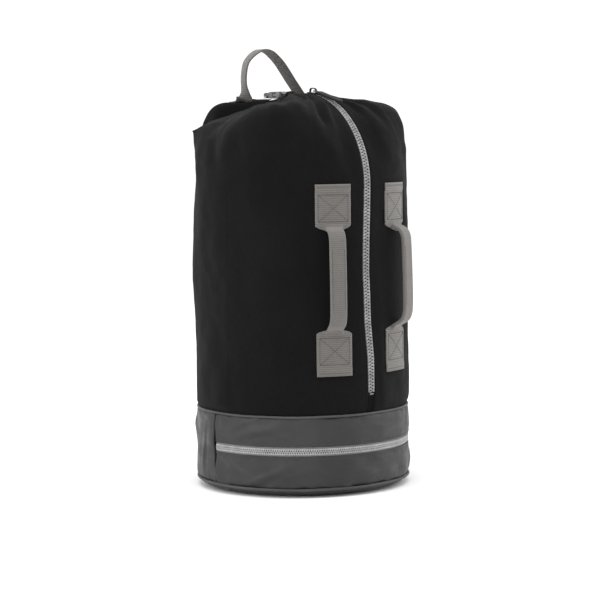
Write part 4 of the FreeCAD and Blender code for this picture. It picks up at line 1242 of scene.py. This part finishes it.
slider("main_slider_body", main_place, 1.0, "main_slider", "main_zip_slider")
a = angle + 3.0 / ARC_R
pivot = np.array([0, ARC_Y - (ARC_R + PIVOT_RISE) * math.sin(a), ARC_Z + (ARC_R + PIVOT_RISE) * math.cos(a)])
slope = math.radians(15.5)
puller("main_puller", pivot, np.array([0, -math.cos(slope), -math.sin(slope)]), np.array([0, -math.sin(slope), math.cos(slope)]),
       61.0, "main_puller", ["main_puller_ring", "main_puller_grip"])


def base_place(along, across, out):
    deg = 86.5 + math.degrees(along / BAG_R)
    return np.append(around(deg, BAG_R + out), BASE_ZIP_Z + across)


slider("base_slider_body", base_place, 1.0, "base_slider", "base_zip_slider")
deg = 86.5 + math.degrees(3.0 / 154.0)
lean = math.radians(deg + 90 + 7.5)
ahead = np.array([math.sin(lean), -math.cos(lean), 0])
puller("base_puller", np.append(around(deg, 154.0), BASE_ZIP_Z), ahead, np.cross([0, 0, 1.0], ahead), 46.0, "base_puller",
       ["base_puller_ring", "base_puller_grip"])


def zip_stops():
    """Moulded end stops of both zips."""
    batch = Batch()
    for s, reach in ((0.2, 1.0), (MAIN_LENGTH + 1.2, 2.4)):
        c, out = main_zip_frame(np.array([s, s + 0.5]))
        down = unit(c[1] - c[0])
        sides = (-1, 1) if s < 1 else (0,)
        for k in sides:
            wide = (0.7, 4.8) if k else (-4.4, 4.4)
            o = []
            for dx, dy in ((0, -reach / 2), (0, reach / 2)):
                o.append(dy)
            box = []
            for h, shrink in ((-3.0, 0.2), (-1.0, 0.0), (-0.4, 0.4)):
                x0, x1 = (k * wide[0], k * wide[1]) if k else wide
                x0, x1 = sorted((x0, x1))
                for x, y in ((x0 + shrink, -reach / 2 + shrink / 2), (x1 - shrink, -reach / 2 + shrink / 2),
                             (x1 - shrink, reach / 2 - shrink / 2), (x0 + shrink, reach / 2 - shrink / 2)):
                    box.append(c[0] + np.array([x, 0, 0]) + down * y + out[0] * h)
            faces = grid_faces(3, 4, closed=True) + [(3, 2, 1, 0), (8, 9, 10, 11)]
            batch.add(np.array(box), faces)
    for deg in (-91.1, 91.1):
        box = []
        for h, shrink in ((-3.0, 0.1), (-1.0, 0.0), (-0.4, 0.25)):
            for x, y in ((-0.9 + shrink, -4 + shrink), (0.9 - shrink, -4 + shrink), (0.9 - shrink, 4 - shrink), (-0.9 + shrink, 4 - shrink)):
                box.append(np.append(around(deg + math.degrees(x / BAG_R), BAG_R + h), BASE_ZIP_Z + y))
        batch.add(np.array(box), grid_faces(3, 4, closed=True) + [(3, 2, 1, 0), (8, 9, 10, 11)])
    batch.build("zip_stops", TEETH, "bag", "zip_teeth", ["main_zip_top_stops", "main_zip_bottom_stop", "base_zip_stops"])


zip_stops()

# ---- what stays inside ------------------------------------------------------------------------------------
for node, material in (("base_board", BOARD), ("divider_panel", BLACK), ("bottom_seam_binding", LINING),
                       ("waist_seam_binding", LINING)):
    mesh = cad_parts[node].data
    mesh.materials.clear()
    mesh.materials.append(material)


# ---- camera, floor and light -------------------------------------------------------------------------
CAM_AZ, CAM_DIST, CAM_Z = math.radians(-38.0), 2.96, 0.493
CAM_PITCH = math.radians(4.55)
CAM_ROLL = math.radians(-0.7)


def studio():
    cam = bpy.data.cameras.new("camera")
    cam.lens = 126.0
    cam.sensor_width = 36.0
    cam.clip_end = 30
    cam.shift_x = -0.0023
    obj = bpy.data.objects.new("camera", cam)
    bpy.context.scene.collection.objects.link(obj)
    obj.location = (math.sin(CAM_AZ) * CAM_DIST, -math.cos(CAM_AZ) * CAM_DIST, CAM_Z)
    look = Vector((-math.sin(CAM_AZ) * math.cos(CAM_PITCH), math.cos(CAM_AZ) * math.cos(CAM_PITCH), -math.sin(CAM_PITCH)))
    turn = look.to_track_quat("-Z", "Y").to_matrix().to_4x4()
    from mathutils import Matrix
    obj.rotation_euler = (turn @ Matrix.Rotation(CAM_ROLL, 4, "Z")).to_euler()
    bpy.context.scene.camera = obj
    floor_mesh = bpy.data.meshes.new("floor")
    floor_mesh.from_pydata([(-14, -14, 0), (14, -14, 0), (14, 14, 0), (-14, 14, 0)], [], [(0, 1, 2, 3)])
    floor = bpy.data.objects.new("floor", floor_mesh)
    floor.location.z = -0.0003
    bpy.context.scene.collection.objects.link(floor)
    n = Nodes("floor_paper")
    floor_mesh.materials.append(n.finish((0.95, 0.95, 0.95, 1), 0.9, Specular_IOR_Level=0.1))
    world = bpy.data.worlds.new("studio")
    bpy.context.scene.world = world
    world.use_nodes = True
    world.node_tree.nodes["Background"].inputs[0].default_value = (1, 1, 1, 1)
    world.node_tree.nodes["Background"].inputs[1].default_value = 1.1

    def softbox(name, place, target, size, power):
        light = bpy.data.lights.new(name, "AREA")
        light.shape = "RECTANGLE"
        light.size, light.size_y = size
        light.energy = power
        lamp = bpy.data.objects.new(name, light)
        lamp.location = place
        lamp.rotation_euler = (Vector(target) - Vector(place)).to_track_quat("-Z", "Y").to_euler()
        bpy.context.scene.collection.objects.link(lamp)

    softbox("left_box", (-2.6, 0.4, 1.3), (0, 0, 0.3), (1.2, 2.2), 26)
    softbox("right_box", (2.2, -1.4, 1.4), (0, 0, 0.3), (1.2, 2.2), 24)
    softbox("top_box", (-0.6, -0.6, 2.6), (0, 0, 0.3), (2.4, 2.4), 30)
    scene = bpy.context.scene
    scene.view_settings.view_transform = "Standard"
    scene.view_settings.look = "None"


studio()

bpy.context.view_layer.update()
